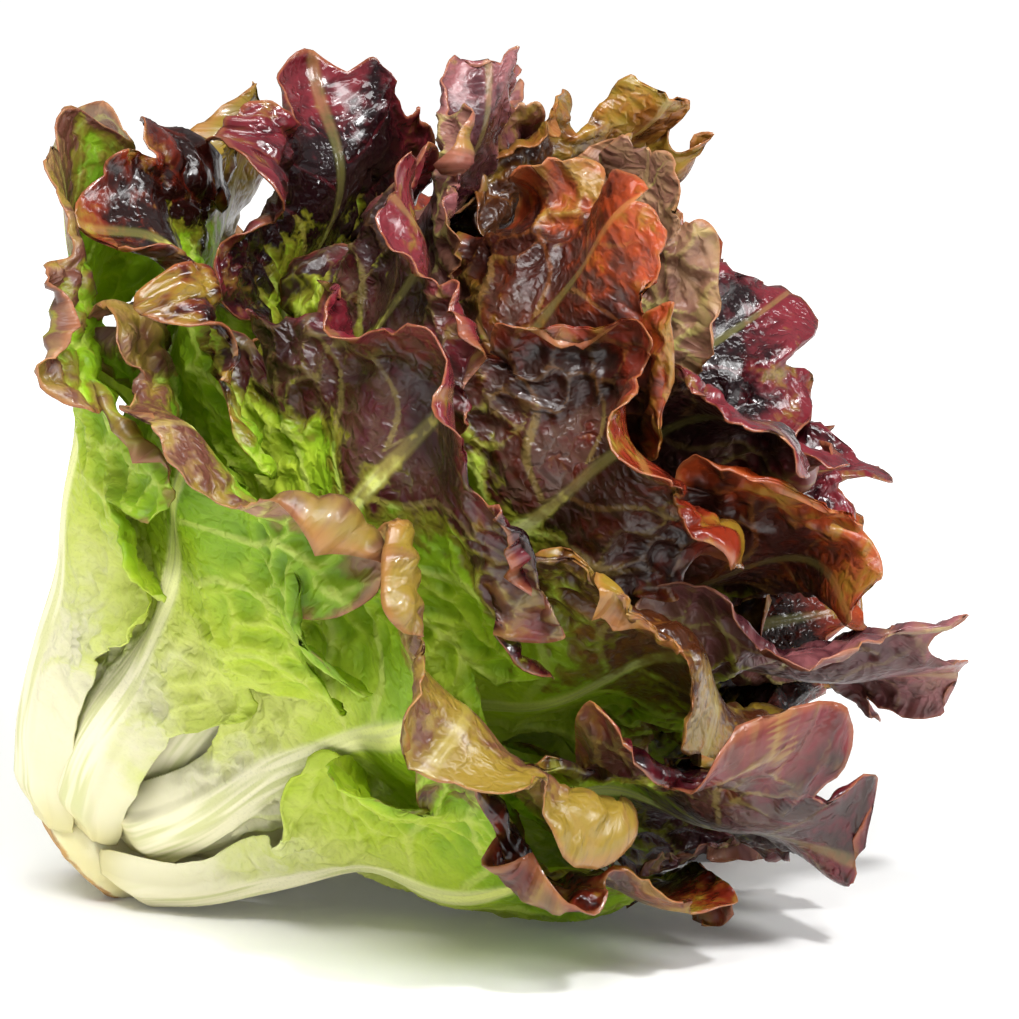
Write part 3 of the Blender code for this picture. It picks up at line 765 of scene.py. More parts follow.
def opened(plan, crowd, clearance):
    """The room that a leaf of the plain solids takes, and its points and thickness there."""
    along, across = leaf_grid(plan)
    points = leaf_surface(plan, along, across)[0]
    thickness = blade_thickness(plan, along, across)[..., None]
    room = crowd.room_for(dense(points - grid_normals(points) * clearance))
    points = ease_open(points, room)
    crowd.take(dense(points + grid_normals(points) * (thickness + clearance)))
    return room, points, thickness


def all_rooms():
    """How far each leaf opens, as the plain solids do: for the heart's leaves and for the large."""
    crowd, own_crowd = Crowd(), Crowd()
    heart, large = {}, {}
    for number in reversed(range(HEART_COUNT)):
        heart[number], points, thickness = opened(heart_plan(number), own_crowd, 0.0)
        crowd.take(dense(points + grid_normals(points) * (thickness + CLEARANCE)))
    for index in reversed(range(LEAF_COUNT)):
        large[index] = opened(leaf_plan(index), crowd, CLEARANCE)[0]
    return heart, large


HEART_ROOMS, LEAF_ROOMS = all_rooms()


def scattered(cell, seed):
    """Two even shares for each whole-numbered cell, always the same."""
    first = np.sin(cell[..., 0] * 127.1 + cell[..., 1] * 311.7 + seed * 17.3) * 43758.5453
    second = np.sin(cell[..., 0] * 269.5 + cell[..., 1] * 183.3 + seed * 9.1) * 24634.6345
    return np.stack([first - np.floor(first), second - np.floor(second)], axis=-1)


def blisters(flat, spacing, seed):
    """A net of puckered cells on the flat leaf: 0 along its seams and up to 1 inside them."""
    place = flat / spacing
    home = np.floor(place)
    nearest = np.full(place.shape[:-1], 9.0)
    second = nearest.copy()
    for step in np.ndindex(3, 3):
        cell = home + np.array(step) - 1
        gap = np.linalg.norm(cell + 0.15 + 0.7 * scattered(cell, seed) - place, axis=-1)
        second = np.minimum(second, np.maximum(nearest, gap))
        nearest = np.minimum(nearest, gap)
    return smooth((second - nearest) / SEAM_WIDTH)


def puckers(flat, vein, shape, seed):
    """The height of the blisters, small ones on large ones, and the large ones' net."""
    warped = flat + NET_SWAY * np.sin(flat[..., ::-1] * NET_SWAY_TURNS + seed)
    cells = blisters(warped, shape.blister_size, seed)
    small = blisters(warped, shape.blister_size * SMALL_BLISTER, seed + 5)
    large_rise = shape.blister_height * (cells - BLISTER_SUNK) * (1 - VEIN_SMOOTH * vein)
    return large_rise + SMALL_BLISTER_HEIGHT * shape.blister_height * small, cells


def side_vein_place(flat, spacing):
    """A count of side veins, whole on each vein; they slant up from the rib and alternate."""
    reach = np.abs(flat[..., 0])
    rise = flat[..., 1] - VEIN_SLANT * reach + VEIN_BENDS_UP * reach**2
    sway = VEIN_SWAY * np.sin(flat[..., 1] * VEIN_SWAY_TURNS[0] + reach * VEIN_SWAY_TURNS[1])
    return rise / spacing + np.where(flat[..., 0] < 0, 0.5, 0.0) + sway


def lobe_lean(plan, along, across):
    """Which way a margin's lobes lean, from -1 to 1 and turning over at the notches."""
    reach = np.abs(across)
    beside = np.sin(np.pi * lobe_place(plan, along, side_of(across))) * beyond_rib(reach) ** 1.5
    beside = beside * rises(along, *LOBES_IN) * (1 - rises(along, *LEANING_OUT))
    return beside - np.cos(np.pi * reach / (2 * TOP_NOTCH)) * rises(along, *TOP_LEANS) ** 1.5


def margin_lift(plan, along, across, shape):
    """How far the margin stands off the blade: leaning lobes, folds and frills."""
    near = nearness(along, across)
    turn = margin_turn(along, across)
    side = side_of(across)
    phase = plan["phases"]
    lean = math.copysign(shape.lobe_lean, math.sin(phase[4])) * plan["leaning"]
    first, second = FOLD_TURNS
    folds = np.sin(first * turn + phase[7] + side)
    folds = folds + SECOND_FOLD * np.sin(second * turn - phase[8] + 2 * side)
    eased = 1 - FOLDS_EASE + FOLDS_EASE * np.sin(FOLDS_EASE_TURNS * turn + phase[3])
    folds = folds * rises(along, *FOLDS_IN) * eased
    frills = np.sin(FRILL_TURNS * turn + phase[5]) * rises(along, *FRILLS_IN)
    lift = lean * lobe_lean(plan, along, across) + shape.fold_height * near**1.6 * folds
    return lift + shape.frill_height * near**5 * frills


def fine_leaf(plan, room, grid, shape, seed, pressed=True):
    """A leaf's upper and lower points in the lying head on a fine grid, and what marks them."""
    along, across = fine_grid(*grid)
    reach = np.abs(across)
    near = nearness(along, across)
    beyond = beyond_rib(reach)
    points, flat = leaf_surface(plan, along, across, shape)
    points = laid_down(ease_open(points, room))
    thickness = blade_thickness(plan, along, across)
    if pressed:
        points = pressed_up(points, thickness)
    normals = grid_normals(points, FINE_NORMAL_PASSES)

    blade = rises(reach, *BLADE_BESIDE_RIB) * rises(along, *BLADE_IN)
    count = side_vein_place(flat, shape.vein_spacing)
    off_vein = np.abs(count - np.round(count)) * shape.vein_spacing
    vein = np.exp(-((off_vein / VEIN_WIDTH) ** 2)) * blade * (1 - VEIN_FADES * near)
    pucker, cells = puckers(flat, vein, shape, seed)
    flutes = np.cos(across / RIB_EDGE * FLUTES * math.pi) * rib_ridge(reach)
    flutes = flutes * (1 - along) ** FLUTES_POWER
    heel = smooth(along / HEEL_OVER)
    low = 1 - smooth(along / shape.foot_reach)

    lift = -pucker * blade + vein * shape.vein_height + margin_lift(plan, along, across, shape)
    lift -= shape.foot_hug * low * beyond**1.2 * heel
    lift += (heel - 1) * (HEEL_SUNK[0] + HEEL_SUNK[1] * reach**2)
    fill = shape.foot_fill * low * heel * (1 - beyond**2)
    thick = thickness * (HEEL_THIN + (1 - HEEL_THIN) * heel) * (1 - MARGIN_THIN * near**4)
    thick += shape.flute_depth * flutes + vein * shape.vein_height * VEIN_THICK

    lower = points + normals * (lift + np.maximum(thick, LEAST_THICKNESS))[..., None]
    upper = points + normals * (lift - fill)[..., None]
    raised = np.maximum(0.0, OFF_SURFACE - np.minimum(upper[..., 2], lower[..., 2]))
    upper[..., 2] += raised
    lower[..., 2] += raised
    off_rib = np.abs(flat[..., 0]) / rib_half_width(plan, along)
    rib = 1 - rises(off_rib, RIB_SEEN_FROM, RIB_SEEN_OVER[0] + RIB_SEEN_OVER[1] * (1 - along))
    marks = {"along": along, "near": near, "rib": rib, "count": count, "seam": (1 - cells) * blade}
    return upper, lower, flat, marks, across


def faces_of(vertices):
    """The faces at some vertices, each once and always in the same order."""
    return list(dict.fromkeys(face for vertex in vertices for face in vertex.link_faces))


def blade_mesh(bm, upper, lower, flat, marks, map_place):
    """Adds a closed leaf: a grid laid on its upper face and extruded to its underside."""
    rows, columns = upper.shape[:2]
    number = bm.verts.layers.int.get("number") or bm.verts.layers.int.new("number")
    layers = {name: bm.verts.layers.float.get(name) or bm.verts.layers.float.new(name)
              for name in (*marks, "upper")}
    uv = bm.loops.layers.uv.get("flat") or bm.loops.layers.uv.new("flat")
    sheet = bmesh.ops.create_grid(bm, x_segments=columns - 1, y_segments=rows - 1, size=1)["verts"]
    for vertex in sheet:
        column = round((vertex.co.x + 1) / 2 * (columns - 1))
        row = round((vertex.co.y + 1) / 2 * (rows - 1))
        vertex[number] = row * columns + column
    faces = faces_of(sheet)
    grown = bmesh.ops.extrude_face_region(bm, geom=faces, use_keep_orig=True)
    below = [part for part in grown["geom"] if isinstance(part, bmesh.types.BMVert)]
    values = {name: grid.reshape(-1).tolist() for name, grid in marks.items()}
    places = ((flat + np.array(map_place)) * MAP_SCALE).reshape(-1, 2).tolist()
    for vertices, points, facing in ((sheet, upper, 1.0), (below, lower, 0.0)):
        spots = points.reshape(-1, 3).tolist()
        for vertex in vertices:
            at = vertex[number]
            vertex.co = spots[at]
            vertex[layers["upper"]] = facing
            for name in marks:
                vertex[layers[name]] = values[name][at]
    faces = faces_of([*sheet, *below])
    for face in faces:
        face.smooth = True
        for loop in face.loops:
            loop[uv].uv = places[loop.vert[number]]
    bmesh.ops.recalc_face_normals(bm, faces=faces)


def finished(bm, name, finish):
    """A piece of the head from its shaped mesh."""
    if "number" in bm.verts.layers.int:
        bm.verts.layers.int.remove(bm.verts.layers.int["number"])
    mesh = bpy.data.meshes.new(name)
    bm.to_mesh(mesh)
    bm.free()
    mesh.materials.append(finish)
    piece = bpy.data.objects.new(name, mesh)
    bpy.context.scene.collection.objects.link(piece)
    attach(piece, "root")
    return piece


class Value:
    """A number of a material, which takes part in sums as plain numbers do."""

    def __init__(self, maker, socket):
        self.maker = maker
        self.socket = socket

    def _sum(self, operation, first, second):
        settings = {"operation": operation}
        return Value(self.maker, self.maker.node("ShaderNodeMath", settings, {0: first, 1: second}))

    def __add__(self, other):
        return self._sum("ADD", self, other)

    __radd__ = __add__

    def __sub__(self, other):
        return self._sum("SUBTRACT", self, other)

    def __rsub__(self, other):
        return self._sum("SUBTRACT", other, self)

    def __mul__(self, other):
        return self._sum("MULTIPLY", self, other)

    __rmul__ = __mul__

    def __abs__(self):
        return self._sum("ABSOLUTE", self, 0.0)


class Nodes:
    """A material's or a world's nodes in the making."""

    def __init__(self, tree):
        self.tree = tree
        self.tree.nodes.clear()

    def node(self, kind, settings=None, sockets=None, output=0):
        """One node with its settings and the values or links of its sockets; gives an output."""
        made = self.tree.nodes.new(kind)
        for name, value in (settings or {}).items():
            setattr(made, name, value)
        for name, value in (sockets or {}).items():
            socket = made.inputs[name]
            value = value.socket if isinstance(value, Value) else value
            if isinstance(value, bpy.types.NodeSocket):
                self.tree.links.new(value, socket)
            else:
                socket.default_value = value
        return made.outputs[output] if made.outputs else made


class Finish(Nodes):
    """A material in the making."""

    def __init__(self, name):
        self.material = bpy.data.materials.new(name)
        self.material.use_nodes = True
        super().__init__(self.material.node_tree)

    def mark(self, name):
        """A value that the mesh carries."""
        settings = {"attribute_name": name, "attribute_type": "GEOMETRY"}
        return Value(self, self.node("ShaderNodeAttribute", settings, output="Fac"))

    def noise(self, place, scale, detail, rough=0.5, dimensions="2D"):
        sockets = {"Vector": place, "Scale": scale, "Detail": detail, "Roughness": rough}
        settings = {"noise_dimensions": dimensions}
        return Value(self, self.node("ShaderNodeTexNoise", settings, sockets, "Fac"))

    def domes(self, place, scale):
        """A net of cells: 0 along its threads and larger inside them."""
        settings = {"feature": "DISTANCE_TO_EDGE", "voronoi_dimensions": "2D"}
        sockets = {"Vector": place, "Scale": scale}
        return Value(self, self.node("ShaderNodeTexVoronoi", settings, sockets, "Distance"))

    def step(self, value, low, high):
        """A soft step from 0 at low to 1 at high."""
        settings = {"interpolation_type": "SMOOTHSTEP"}
        sockets = {"Value": value, "From Min": low, "From Max": high}
        return Value(self, self.node("ShaderNodeMapRange", settings, sockets))

    def mix(self, share, first, second):
        """Two colours mixed."""
        colours = [c if isinstance(c, bpy.types.NodeSocket) else (*c, 1.0) for c in (first, second)]
        sockets = {0: share, 6: colours[0], 7: colours[1]}
        return self.node("ShaderNodeMix", {"data_type": "RGBA"}, sockets, 2)

    def stretch(self, place, scale):
        return self.node("ShaderNodeVectorMath", {"operation": "MULTIPLY"}, {0: place, 1: scale})

    def bend(self, place, first, second, amount):
        """A place moved about by two values, so that a net drawn there isn't straight."""
        moved = self.node("ShaderNodeCombineXYZ", {}, {"X": first, "Y": second})
        sockets = {0: moved, 1: (amount, amount, 0.0), 2: place}
        return self.node("ShaderNodeVectorMath", {"operation": "MULTIPLY_ADD"}, sockets)

    def fold(self, value, half):
        """How far a value is from a whole number of twice half."""
        return Value(self, self.node("ShaderNodeMath", {"operation": "PINGPONG"}, {0: value, 1: half}))

    def done(self, shader):
        self.node("ShaderNodeOutputMaterial", {}, {"Surface": shader})
        return self.material


def leaf_values(finish):
    """What a leaf's mesh carries and the patterns drawn on it, with its veins and how red it is.

    The flat map counts in centimetres, so a pattern of scale 2 has marks of about 5 mm.
    """
    marks = ("along", "near", "rib", "count", "seam", "ripe", "upper")
    leaf = SimpleNamespace(**{name: finish.mark(name) for name in marks})
    flat = finish.node("ShaderNodeUVMap", {"uv_map": "flat"})
    leaf.patches = finish.noise(flat, 0.4, 1.0)
    leaf.mottles = finish.noise(flat, 2.0, 2.0, 0.6)
    leaf.grain = finish.noise(flat, 13.0, 1.0, 0.6)
    leaf.streaks = finish.noise(finish.stretch(flat, (5.5, 0.3, 1.0)), 1.0, 1.0, 0.6)
    leaf.domes = finish.domes(finish.bend(flat, leaf.mottles, leaf.patches, 0.9), 2.1)
    leaf.on_rib = finish.step(leaf.rib, 0.1, 0.7)
    leaf.blade = finish.step(leaf.along, 0.08, 0.36)

    side_veins = 1 - finish.step(finish.fold(leaf.count, 0.5) * (0.6 + leaf.near), 0.012, 0.075)
    side_veins = side_veins * (1 - leaf.near * 0.75) * leaf.blade
    net = 1 - finish.step(leaf.domes, 0.0, 0.1)
    veins = side_veins * 0.8 + finish.step(leaf.seam, 0.72, 1.0) * 0.55 + net * 0.25
    leaf.veins = veins * (1 - leaf.on_rib)

    red = leaf.ripe + (leaf.patches - 0.5) * 2.2 + (leaf.mottles - 0.5) * 1.6
    red = red - leaf.seam * 0.45 - leaf.veins * 0.35 - leaf.on_rib * 0.5
    green_rib = leaf.on_rib * (0.3 - finish.step(leaf.ripe, 0.3, 1.6) * 0.22)
    leaf.red = finish.step(red, 0.0, 0.9) * (1 - green_rib)
    return leaf


def leaf_greens(finish, leaf, colours):
    """From the pale foot over lime to deep green, with pale veins and the streaked rib."""
    up = leaf.along + (leaf.patches - 0.5) * 0.3 + (leaf.mottles - 0.5) * 0.12 + leaf.near * 0.06
    green = finish.mix(finish.step(up, 0.22, 0.42), colours.rib, colours.pale)
    green = finish.mix(finish.step(up, 0.38, 0.56), green, colours.young)
    green = finish.mix(finish.step(up - leaf.seam * 0.1, 0.5, 0.72), green, colours.green)
    green = finish.mix(finish.step(up - leaf.seam * 0.2, 0.6, 0.9) * 0.8, green, colours.deep_green)
    green = finish.mix(finish.step(leaf.veins, 0.1, 0.9) * 0.5, green, colours.pale)
    rib = finish.mix(finish.step(leaf.along, 0.3, 0.7), colours.rib, colours.pale)
    rib = finish.mix(finish.step(leaf.streaks, 0.4, 0.66) * 0.75, rib, colours.rib_shade)
    return finish.mix(leaf.on_rib, green, rib)


def leaf_reds(finish, leaf, look, colours):
    """Dark and light red with bronze places and paler veins, and the dusty underside."""
    tone = leaf.mottles + leaf.patches * 1.1 + (leaf.near - 0.6) * 0.7 + (leaf.ripe - 1.7) * 0.15
    tone = tone - leaf.seam * 0.15 - 0.93
    reds = finish.mix(finish.step(tone, 0.1, 0.75), look.dark, look.light)
    bronzed = leaf.patches * 1.1 + (leaf.mottles - 0.5) * 0.9 + (leaf.near - 0.5) * 0.35
    bronzed = bronzed + leaf.seam * 0.15
    bronzed = finish.step(bronzed, 0.95 - look.bronze * 0.6, 1.3 - look.bronze * 0.5)
    reds = finish.mix(bronzed * 0.85, reds, colours.bronze)
    reds = finish.mix(finish.step(leaf.veins, 0.2, 0.9) * 0.3, reds, look.light)
    dusted = finish.mix(finish.step(leaf.mottles, 0.35, 0.7), colours.dust, look.light)
    dusted = finish.mix(finish.step(leaf.veins, 0.1, 0.8) * 0.8, dusted, colours.dust_vein)
    dust = (1 - leaf.upper) * look.dusty * (0.4 + finish.step(leaf.patches, 0.4, 0.6))
    return finish.mix(dust, reds, dusted)


def leaf_finish(name, look, colours):
    """A leaf's finish: pale rib, green foot and red crown, with veins, blisters and a thin rim."""
    finish = Finish(name)
    leaf = leaf_values(finish)
    reds = leaf_reds(finish, leaf, look, colours)
    colour = finish.mix(leaf.red, leaf_greens(finish, leaf, colours), reds)
    turning = finish.step(abs(leaf.red - 0.5), 0.5, 0.2)
    colour = finish.mix(turning * 0.5, colour, colours.bronze)
    rim = finish.step(leaf.near, 0.965, 1.0) * finish.step(leaf.along, 0.35, 0.55) * leaf.red
    colour = finish.mix(rim * 0.5, colour, colours.rim)
    colour = finish.mix(finish.step(leaf.grain, 0.5, 0.8) * leaf.blade * 0.12, colour, colours.speck)
    colour = finish.mix(finish.step(0.07 - leaf.along, 0.0, 0.06), colour, colours.flesh)

    glossy = leaf.red * (0.5 + leaf.upper * 0.5) * look.gloss
    height = finish.step(leaf.domes, 0.0, 0.4) * 0.7 * (1 - leaf.on_rib) + leaf.mottles * 0.5
    height = height * leaf.blade + leaf.streaks * leaf.on_rib * 0.5
    bump = finish.node("ShaderNodeBump", {}, {
        "Strength": 0.55, "Distance": BLADE_BUMP, "Height": height})
    skin = finish.node("ShaderNodeBsdfPrincipled", {}, {
        "Base Color": colour, "Roughness": 0.5 - glossy * 0.3 + (leaf.mottles - 0.5) * 0.2,
        "Normal": bump, "IOR": 1.42, "Coat Weight": glossy * 0.55, "Coat Roughness": 0.13,
    })
    green_glow = finish.node("ShaderNodeBsdfTranslucent", {}, {"Color": (*colours.green_glow, 1)})
    red_glow = finish.node("ShaderNodeBsdfTranslucent", {}, {"Color": (*colours.red_glow, 1)})
    glow = finish.node("ShaderNodeMixShader", {}, {0: leaf.red, 1: green_glow, 2: red_glow})
    through = (0.32 - leaf.red * (0.29 - leaf.near * leaf.near * 0.13)) * (1 - leaf.on_rib * 0.7)
    through = through * (leaf.blade * 0.55 + 0.45)
    return finish.done(finish.node("ShaderNodeMixShader", {}, {0: through, 1: skin, 2: glow}))


def stem_finish(colours):
    """The butt's finish: pale moist flesh, browned along the rim of the cut and at old scars."""
    finish = Finish("butt_flesh")
    place = finish.node("ShaderNodeTexCoord", output="Object")
    rim, scar, height = finish.mark("rim"), finish.mark("scar"), finish.mark("height")
    patches = finish.noise(place, 120.0, 2.0, 0.6, "3D")
    grain = finish.noise(place, 900.0, 2.0, 0.6, "3D")
    strokes = finish.noise(place, 320.0, 3.0, 0.7, "3D")
    browned = finish.step(rim + scar + (patches - 0.5) * 1.5 + (strokes - 0.5) * 0.6, 0.6, 1.0)
    flesh = finish.mix(finish.step(height, 0.3, 1.0), colours.flesh, colours.rib)
    flesh = finish.mix(finish.step(patches, 0.4, 0.7) * 0.5, flesh, colours.rib)
    brown = finish.mix(finish.step(strokes, 0.35, 0.65), colours.browned, colours.rusty)
    colour = finish.mix(browned * 0.85, flesh, brown)
    relief = patches * 0.8 + strokes * 0.4 + grain * 0.15
    bump = finish.node("ShaderNodeBump", {}, {
        "Strength": 0.7, "Distance": FLESH_BUMP, "Height": relief})
    skin = finish.node("ShaderNodeBsdfPrincipled", {}, {
        "Base Color": colour, "Roughness": 0.42 + browned * 0.25, "Normal": bump,
        "Subsurface Weight": 0.12, "Subsurface Radius": (1.0, 0.8, 0.35), "Subsurface Scale": 3 * MM,
    })
    return finish.done(skin)


def floor_finish(colour):
    """White paper with a painted glow, faint round the head and strong away from it, as if lit from
    below.
    """
    finish = Finish("floor_white")
    place = finish.node("ShaderNodeTexCoord", output="Object")
    length = {"operation": "LENGTH"}
    away = Value(finish, finish.node("ShaderNodeVectorMath", length, {0: place}, "Value"))
    # Painted glow of the floor, growing with the distance from the head
    painted_glow = finish.mix(finish.step(away, *FLOOR_PAINTED_GLOW_RANGE), *FLOOR_PAINTED_GLOW_COLOURS)
    return finish.done(finish.node("ShaderNodeBsdfPrincipled", {}, {
        "Base Color": (*colour, 1), "Roughness": 0.6, "Specular IOR Level": 0.2,
        "Emission Color": painted_glow, "Emission Strength": 1.0,
    }))


def studio_world(strength):
    """Soft light from all round, paler where the camera sees it."""
    world = bpy.data.worlds.new("studio")
    world.use_nodes = True
    nodes = Nodes(world.node_tree)
    white = (1.0, 1.0, 1.0, 1.0)
    lights = nodes.node("ShaderNodeBackground", {}, {"Color": white, "Strength": strength})
    seen = nodes.node("ShaderNodeBackground", {}, {"Strength": SEEN_WORLD})
    to_camera = nodes.node("ShaderNodeLightPath", output="Is Camera Ray")
    both = nodes.node("ShaderNodeMixShader", {}, {0: to_camera, 1: lights, 2: seen})
    nodes.node("ShaderNodeOutputWorld", {}, {"Surface": both})
    return world


def leaf_finishes(colours):
    """One finish for each look, made once."""
    made = {}
    for name, look in LOOKS.items():
        key = f"leaf_{name}"
        made[name] = bpy.data.materials.get(key) or leaf_finish(key, look, colours)
    return made


def leaf_kind(index):
    """Whether a leaf is outer, middle or inner, and its number among those."""
    if index < OUTER_COUNT:
        return "outer_leaf", index + 1
    if index < OUTER_COUNT + MIDDLE_COUNT:
        return "middle_leaf", index + 1 - OUTER_COUNT
    return "inner_leaf", index + 1 - OUTER_COUNT - MIDDLE_COUNT


def grow_leaves(indices, head):
    """Grows large leaves by their place in the spiral."""
    finishes = leaf_finishes(head.colours)
    for index in indices:
        look, red_from, lopsided = LEAF_LOOKS[index]
        grid = BACK_GRID if index in HIDDEN else FINE_GRID
        upper, lower, flat, marks, across = fine_leaf(
            leaf_plan(index), LEAF_ROOMS[index], grid, head.shape, index)
        ripe = (marks["along"] + MARGIN_AHEAD * (marks["near"] - 0.6) - red_from) / RIPENS_OVER
        marks["ripe"] = ripe + lopsided * across
        bm = bmesh.new()
        blade_mesh(bm, upper, lower, flat, marks, [step * index for step in MAP_STEP])
        kind, number = leaf_kind(index)
        name = f"{kind}_{number:02d}"
        piece = finished(bm, f"{name}_fine", finishes[look])
        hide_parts(name)


def stem_line():
    """Half the stem's section from the tip down to the middle of the cut face."""
    line = [(AXIS_GAP, STEM_LENGTH), *STEM_TIP]
    shoulder = STEM_TIP[-1][1]
    for step in range(1, SIDE_STEPS + 1):
        height = shoulder + (BUTT_HEIGHT - shoulder) * step / SIDE_STEPS
        line.append((stem_radius(height), height))
    corners = np.array(BUTT_CORNERS)
    for upper, lower in zip(corners, corners[1:]):
        for step in range(1, CORNER_STEPS + 1):
            line.append(upper + (lower - upper) * step / CORNER_STEPS)
    rim_radius = BUTT_CORNERS[-1][0]
    for step in range(1, FACE_STEPS + 1):
        share = step / FACE_STEPS
        line.append((rim_radius * (1 - share) + AXIS_GAP, -FACE_BULGE * share))
    return line


def scar_ridge(scars, azimuth, height):
    """How much a place on the butt's side belongs to the scars of old leaves."""
    ridge = 0.0
    for turn, level, half in scars:
        off = (azimuth - turn + math.pi) % (2 * math.pi) - math.pi
        line = level + SCAR_BEND * (off / half) ** 2
        ridge += math.exp(-(((height - line) / SCAR_WIDTH) ** 2)) * smooth(1.4 - abs(off) / half)
    return min(ridge, 1.0)


def shape_stem(bm):
    """Uneven flesh, a collar, old scars and a torn cut, and what marks them."""
    rim, scar, tall = (bm.verts.layers.float.new(name) for name in ("rim", "scar", "height"))
    draw = random.Random(SCAR_SEED)
    ranges = ((0, 2 * math.pi), SCAR_HEIGHTS, SCAR_HALF_TURNS)
    scars = [[draw.uniform(*ends) for ends in ranges] for _ in range(SCAR_COUNT)]
    matrix = head_matrix()
    for vertex in bm.verts:
        x, y, z = vertex.co
        radius, azimuth = math.hypot(x, y), math.atan2(y, x)
        side = rises(radius, *SIDE_IN) * falls(z, *SIDE_OUT)
        uneven = math.sin(3 * azimuth + 1) + 0.6 * math.sin(7 * azimuth + 300 * z)
        uneven += 0.4 * math.sin(13 * azimuth + 2)
        ridge = scar_ridge(scars, azimuth, z)
        rags = max(0.0, math.sin(5 * azimuth + 1) + math.sin(11 * azimuth))
        torn = falls(z, *TORN_OUT) * rags**2
        collar = rises(z, *COLLAR_IN) * falls(z, *COLLAR_OUT)
        grow = side * (UNEVEN * uneven + SCAR_RISE * ridge + TORN * torn + COLLAR * collar)
        lines = math.sin(radius * CUT_LINES_TURNS + 2 * math.sin(3 * azimuth))
        lines *= CUT_LINES * falls(z, *CUT_LINES_OUT)
        scale = 1 + grow / max(radius, 1 * MM)
        lying = matrix @ Vector((x * scale, y * scale, z + lines))
        lying.z = max(lying.z, 0.0)
        vertex.co = lying
        vertex[rim] = float(rises(radius, *RIM_IN) * falls(z, *RIM_OUT))
        vertex[scar] = float(ridge * side) * SCAR_MARK
        vertex[tall] = float(np.clip(z / PALE_UP_TO, 0, 1))
    for face in bm.faces:
        face.smooth = True


def area_light(name, place, size, energy):
    light = bpy.data.lights.new(name, "AREA")
    light.shape = "RECTANGLE"
    light.size, light.size_y = size
    light.energy = energy
    lamp = bpy.data.objects.new(name, light)
    lamp.location = place
    lamp.rotation_euler = (Vector(LAMPS_AIM) - Vector(place)).to_track_quat("-Z", "Y").to_euler()
    bpy.context.scene.collection.objects.link(lamp)


def length_property(name, description, default, least=0.0):
    return FloatProperty(name=name, description=description, default=default, min=least,
                         unit="LENGTH")


def share_property(name, description, default, least=0.0, most=1.0):
    return FloatProperty(name=name, description=description, default=default, min=least, max=most,
                         subtype="FACTOR")


def power_property(name, description, default):
    return FloatProperty(name=name, description=description, default=default, min=0, unit="POWER")


def colour_property(name, description, default):
    return FloatVectorProperty(name=name, description=description, default=default, size=3,
                               min=0, max=1, subtype="COLOR")


class LeafShape(bpy.types.PropertyGroup):
    """The small forms of the leaves."""

    scallop: share_property("Scallop", "How far the outline's small waves stand out", 0.06, most=0.2)
    blister_size: length_property(
        "Blister size", "The distance between blisters of the blade", 9.5 * MM, least=2 * MM)
    blister_height: length_property("Blister height", "How high the blisters stand", 2.1 * MM)
    vein_spacing: length_property(
        "Vein spacing", "The distance between side veins along the rib", 19 * MM, least=5 * MM)
    vein_height: length_property("Vein height", "How far side veins stand out below", 0.7 * MM)
    lobe_depth: share_property("Lobe depth", "How deep the notches between lobes are", 0.4, most=0.8)
    crown_round: share_property(
        "Crown roundness", "How round the corners of the crown are", 0.49, most=0.5)
    heel_width: share_property(
        "Heel width", "The width of a leaf where it joins the stem", 0.95, least=0.2)
    heel_drop: length_property("Heel drop", "How far a leaf's foot runs down the stem", 5.0 * MM)
    lobe_lean: length_property(
        "Lobe lean", "How far the lobes lean to either side of the blade", 5.0 * MM)
    fold_height: length_property("Fold height", "How deep the margin's folds are", 2.0 * MM)
    frill_height: length_property(
        "Frill height", "How high the finest waves of the margin are", 0.5 * MM)
    foot_reach: share_property(
        "Foot reach", "How far up a leaf its thick foot reaches", 0.36, least=0.05)
    foot_hug: length_property(
        "Foot hug", "How far the wings of a foot turn in round the stem", 6.0 * MM)
    foot_fill: length_property("Foot fill", "How much thicker a foot is on its inner side", 2.6 * MM)
    flute_depth: length_property("Flute depth", "How deep the rib is fluted", 0.6 * MM)


class HeadColours(bpy.types.PropertyGroup):
    """The colours of leaves and butt."""

    rib: colour_property("Rib", "Pale flesh of the ribs", rgb(246, 239, 204))
    rib_shade: colour_property("Rib shade", "The furrows of the ribs", rgb(204, 206, 138))
    pale: colour_property("Pale green", "The foot of a blade", rgb(224, 230, 124))
    young: colour_property("Yellow green", "The lower half of a blade", rgb(194, 214, 64))
    green: colour_property("Green", "The middle of a blade", rgb(146, 184, 36))
    deep_green: colour_property("Deep green", "The greenest places", rgb(92, 134, 34))
    green_glow: colour_property("Green glow", "Light through a green blade", rgb(205, 226, 80))
    red_glow: colour_property("Red glow", "Light through a red blade", rgb(170, 48, 26))
    bronze: colour_property("Bronze", "Where green shows through red", rgb(132, 112, 38))
    dust: colour_property("Dusty red", "The dull underside of a red blade", rgb(134, 94, 78))
    dust_vein: colour_property("Underside vein", "Veins below a red blade", rgb(184, 176, 98))
    rim: colour_property("Rim", "The thin margin of a red blade", rgb(166, 104, 66))
    speck: colour_property("Speck", "The finest grain of a blade", (0.02, 0.012, 0.006))
    flesh: colour_property("Butt", "Flesh of the butt", rgb(232, 222, 166))
    browned: colour_property("Browned", "Where the cut has browned", rgb(150, 92, 34))
    rusty: colour_property("Rusty", "The lighter brown of the cut", rgb(198, 142, 66))


class StageSettings(bpy.types.PropertyGroup):
    """The surface, the light and the camera."""

    floor: colour_property("Floor", "The surface that the head lies on", (0.93, 0.93, 0.92))
    key: power_property("Key light", "Strength of the large light", 21.5)
    side: power_property("Side light", "Strength of the light from the right", 8.0)
    sparkle: power_property("Sparkle", "Strength of the small light", 9.5)
    world: FloatProperty(name="World light", description="Strength of the light from all round",
                         default=0.3, min=0)
    camera_distance: length_property("Camera distance", "From camera to head", 1.3, least=0.3)
    camera_rise: FloatProperty(name="Camera rise", description="How far the camera looks down",
                               default=math.radians(11), subtype="ANGLE")


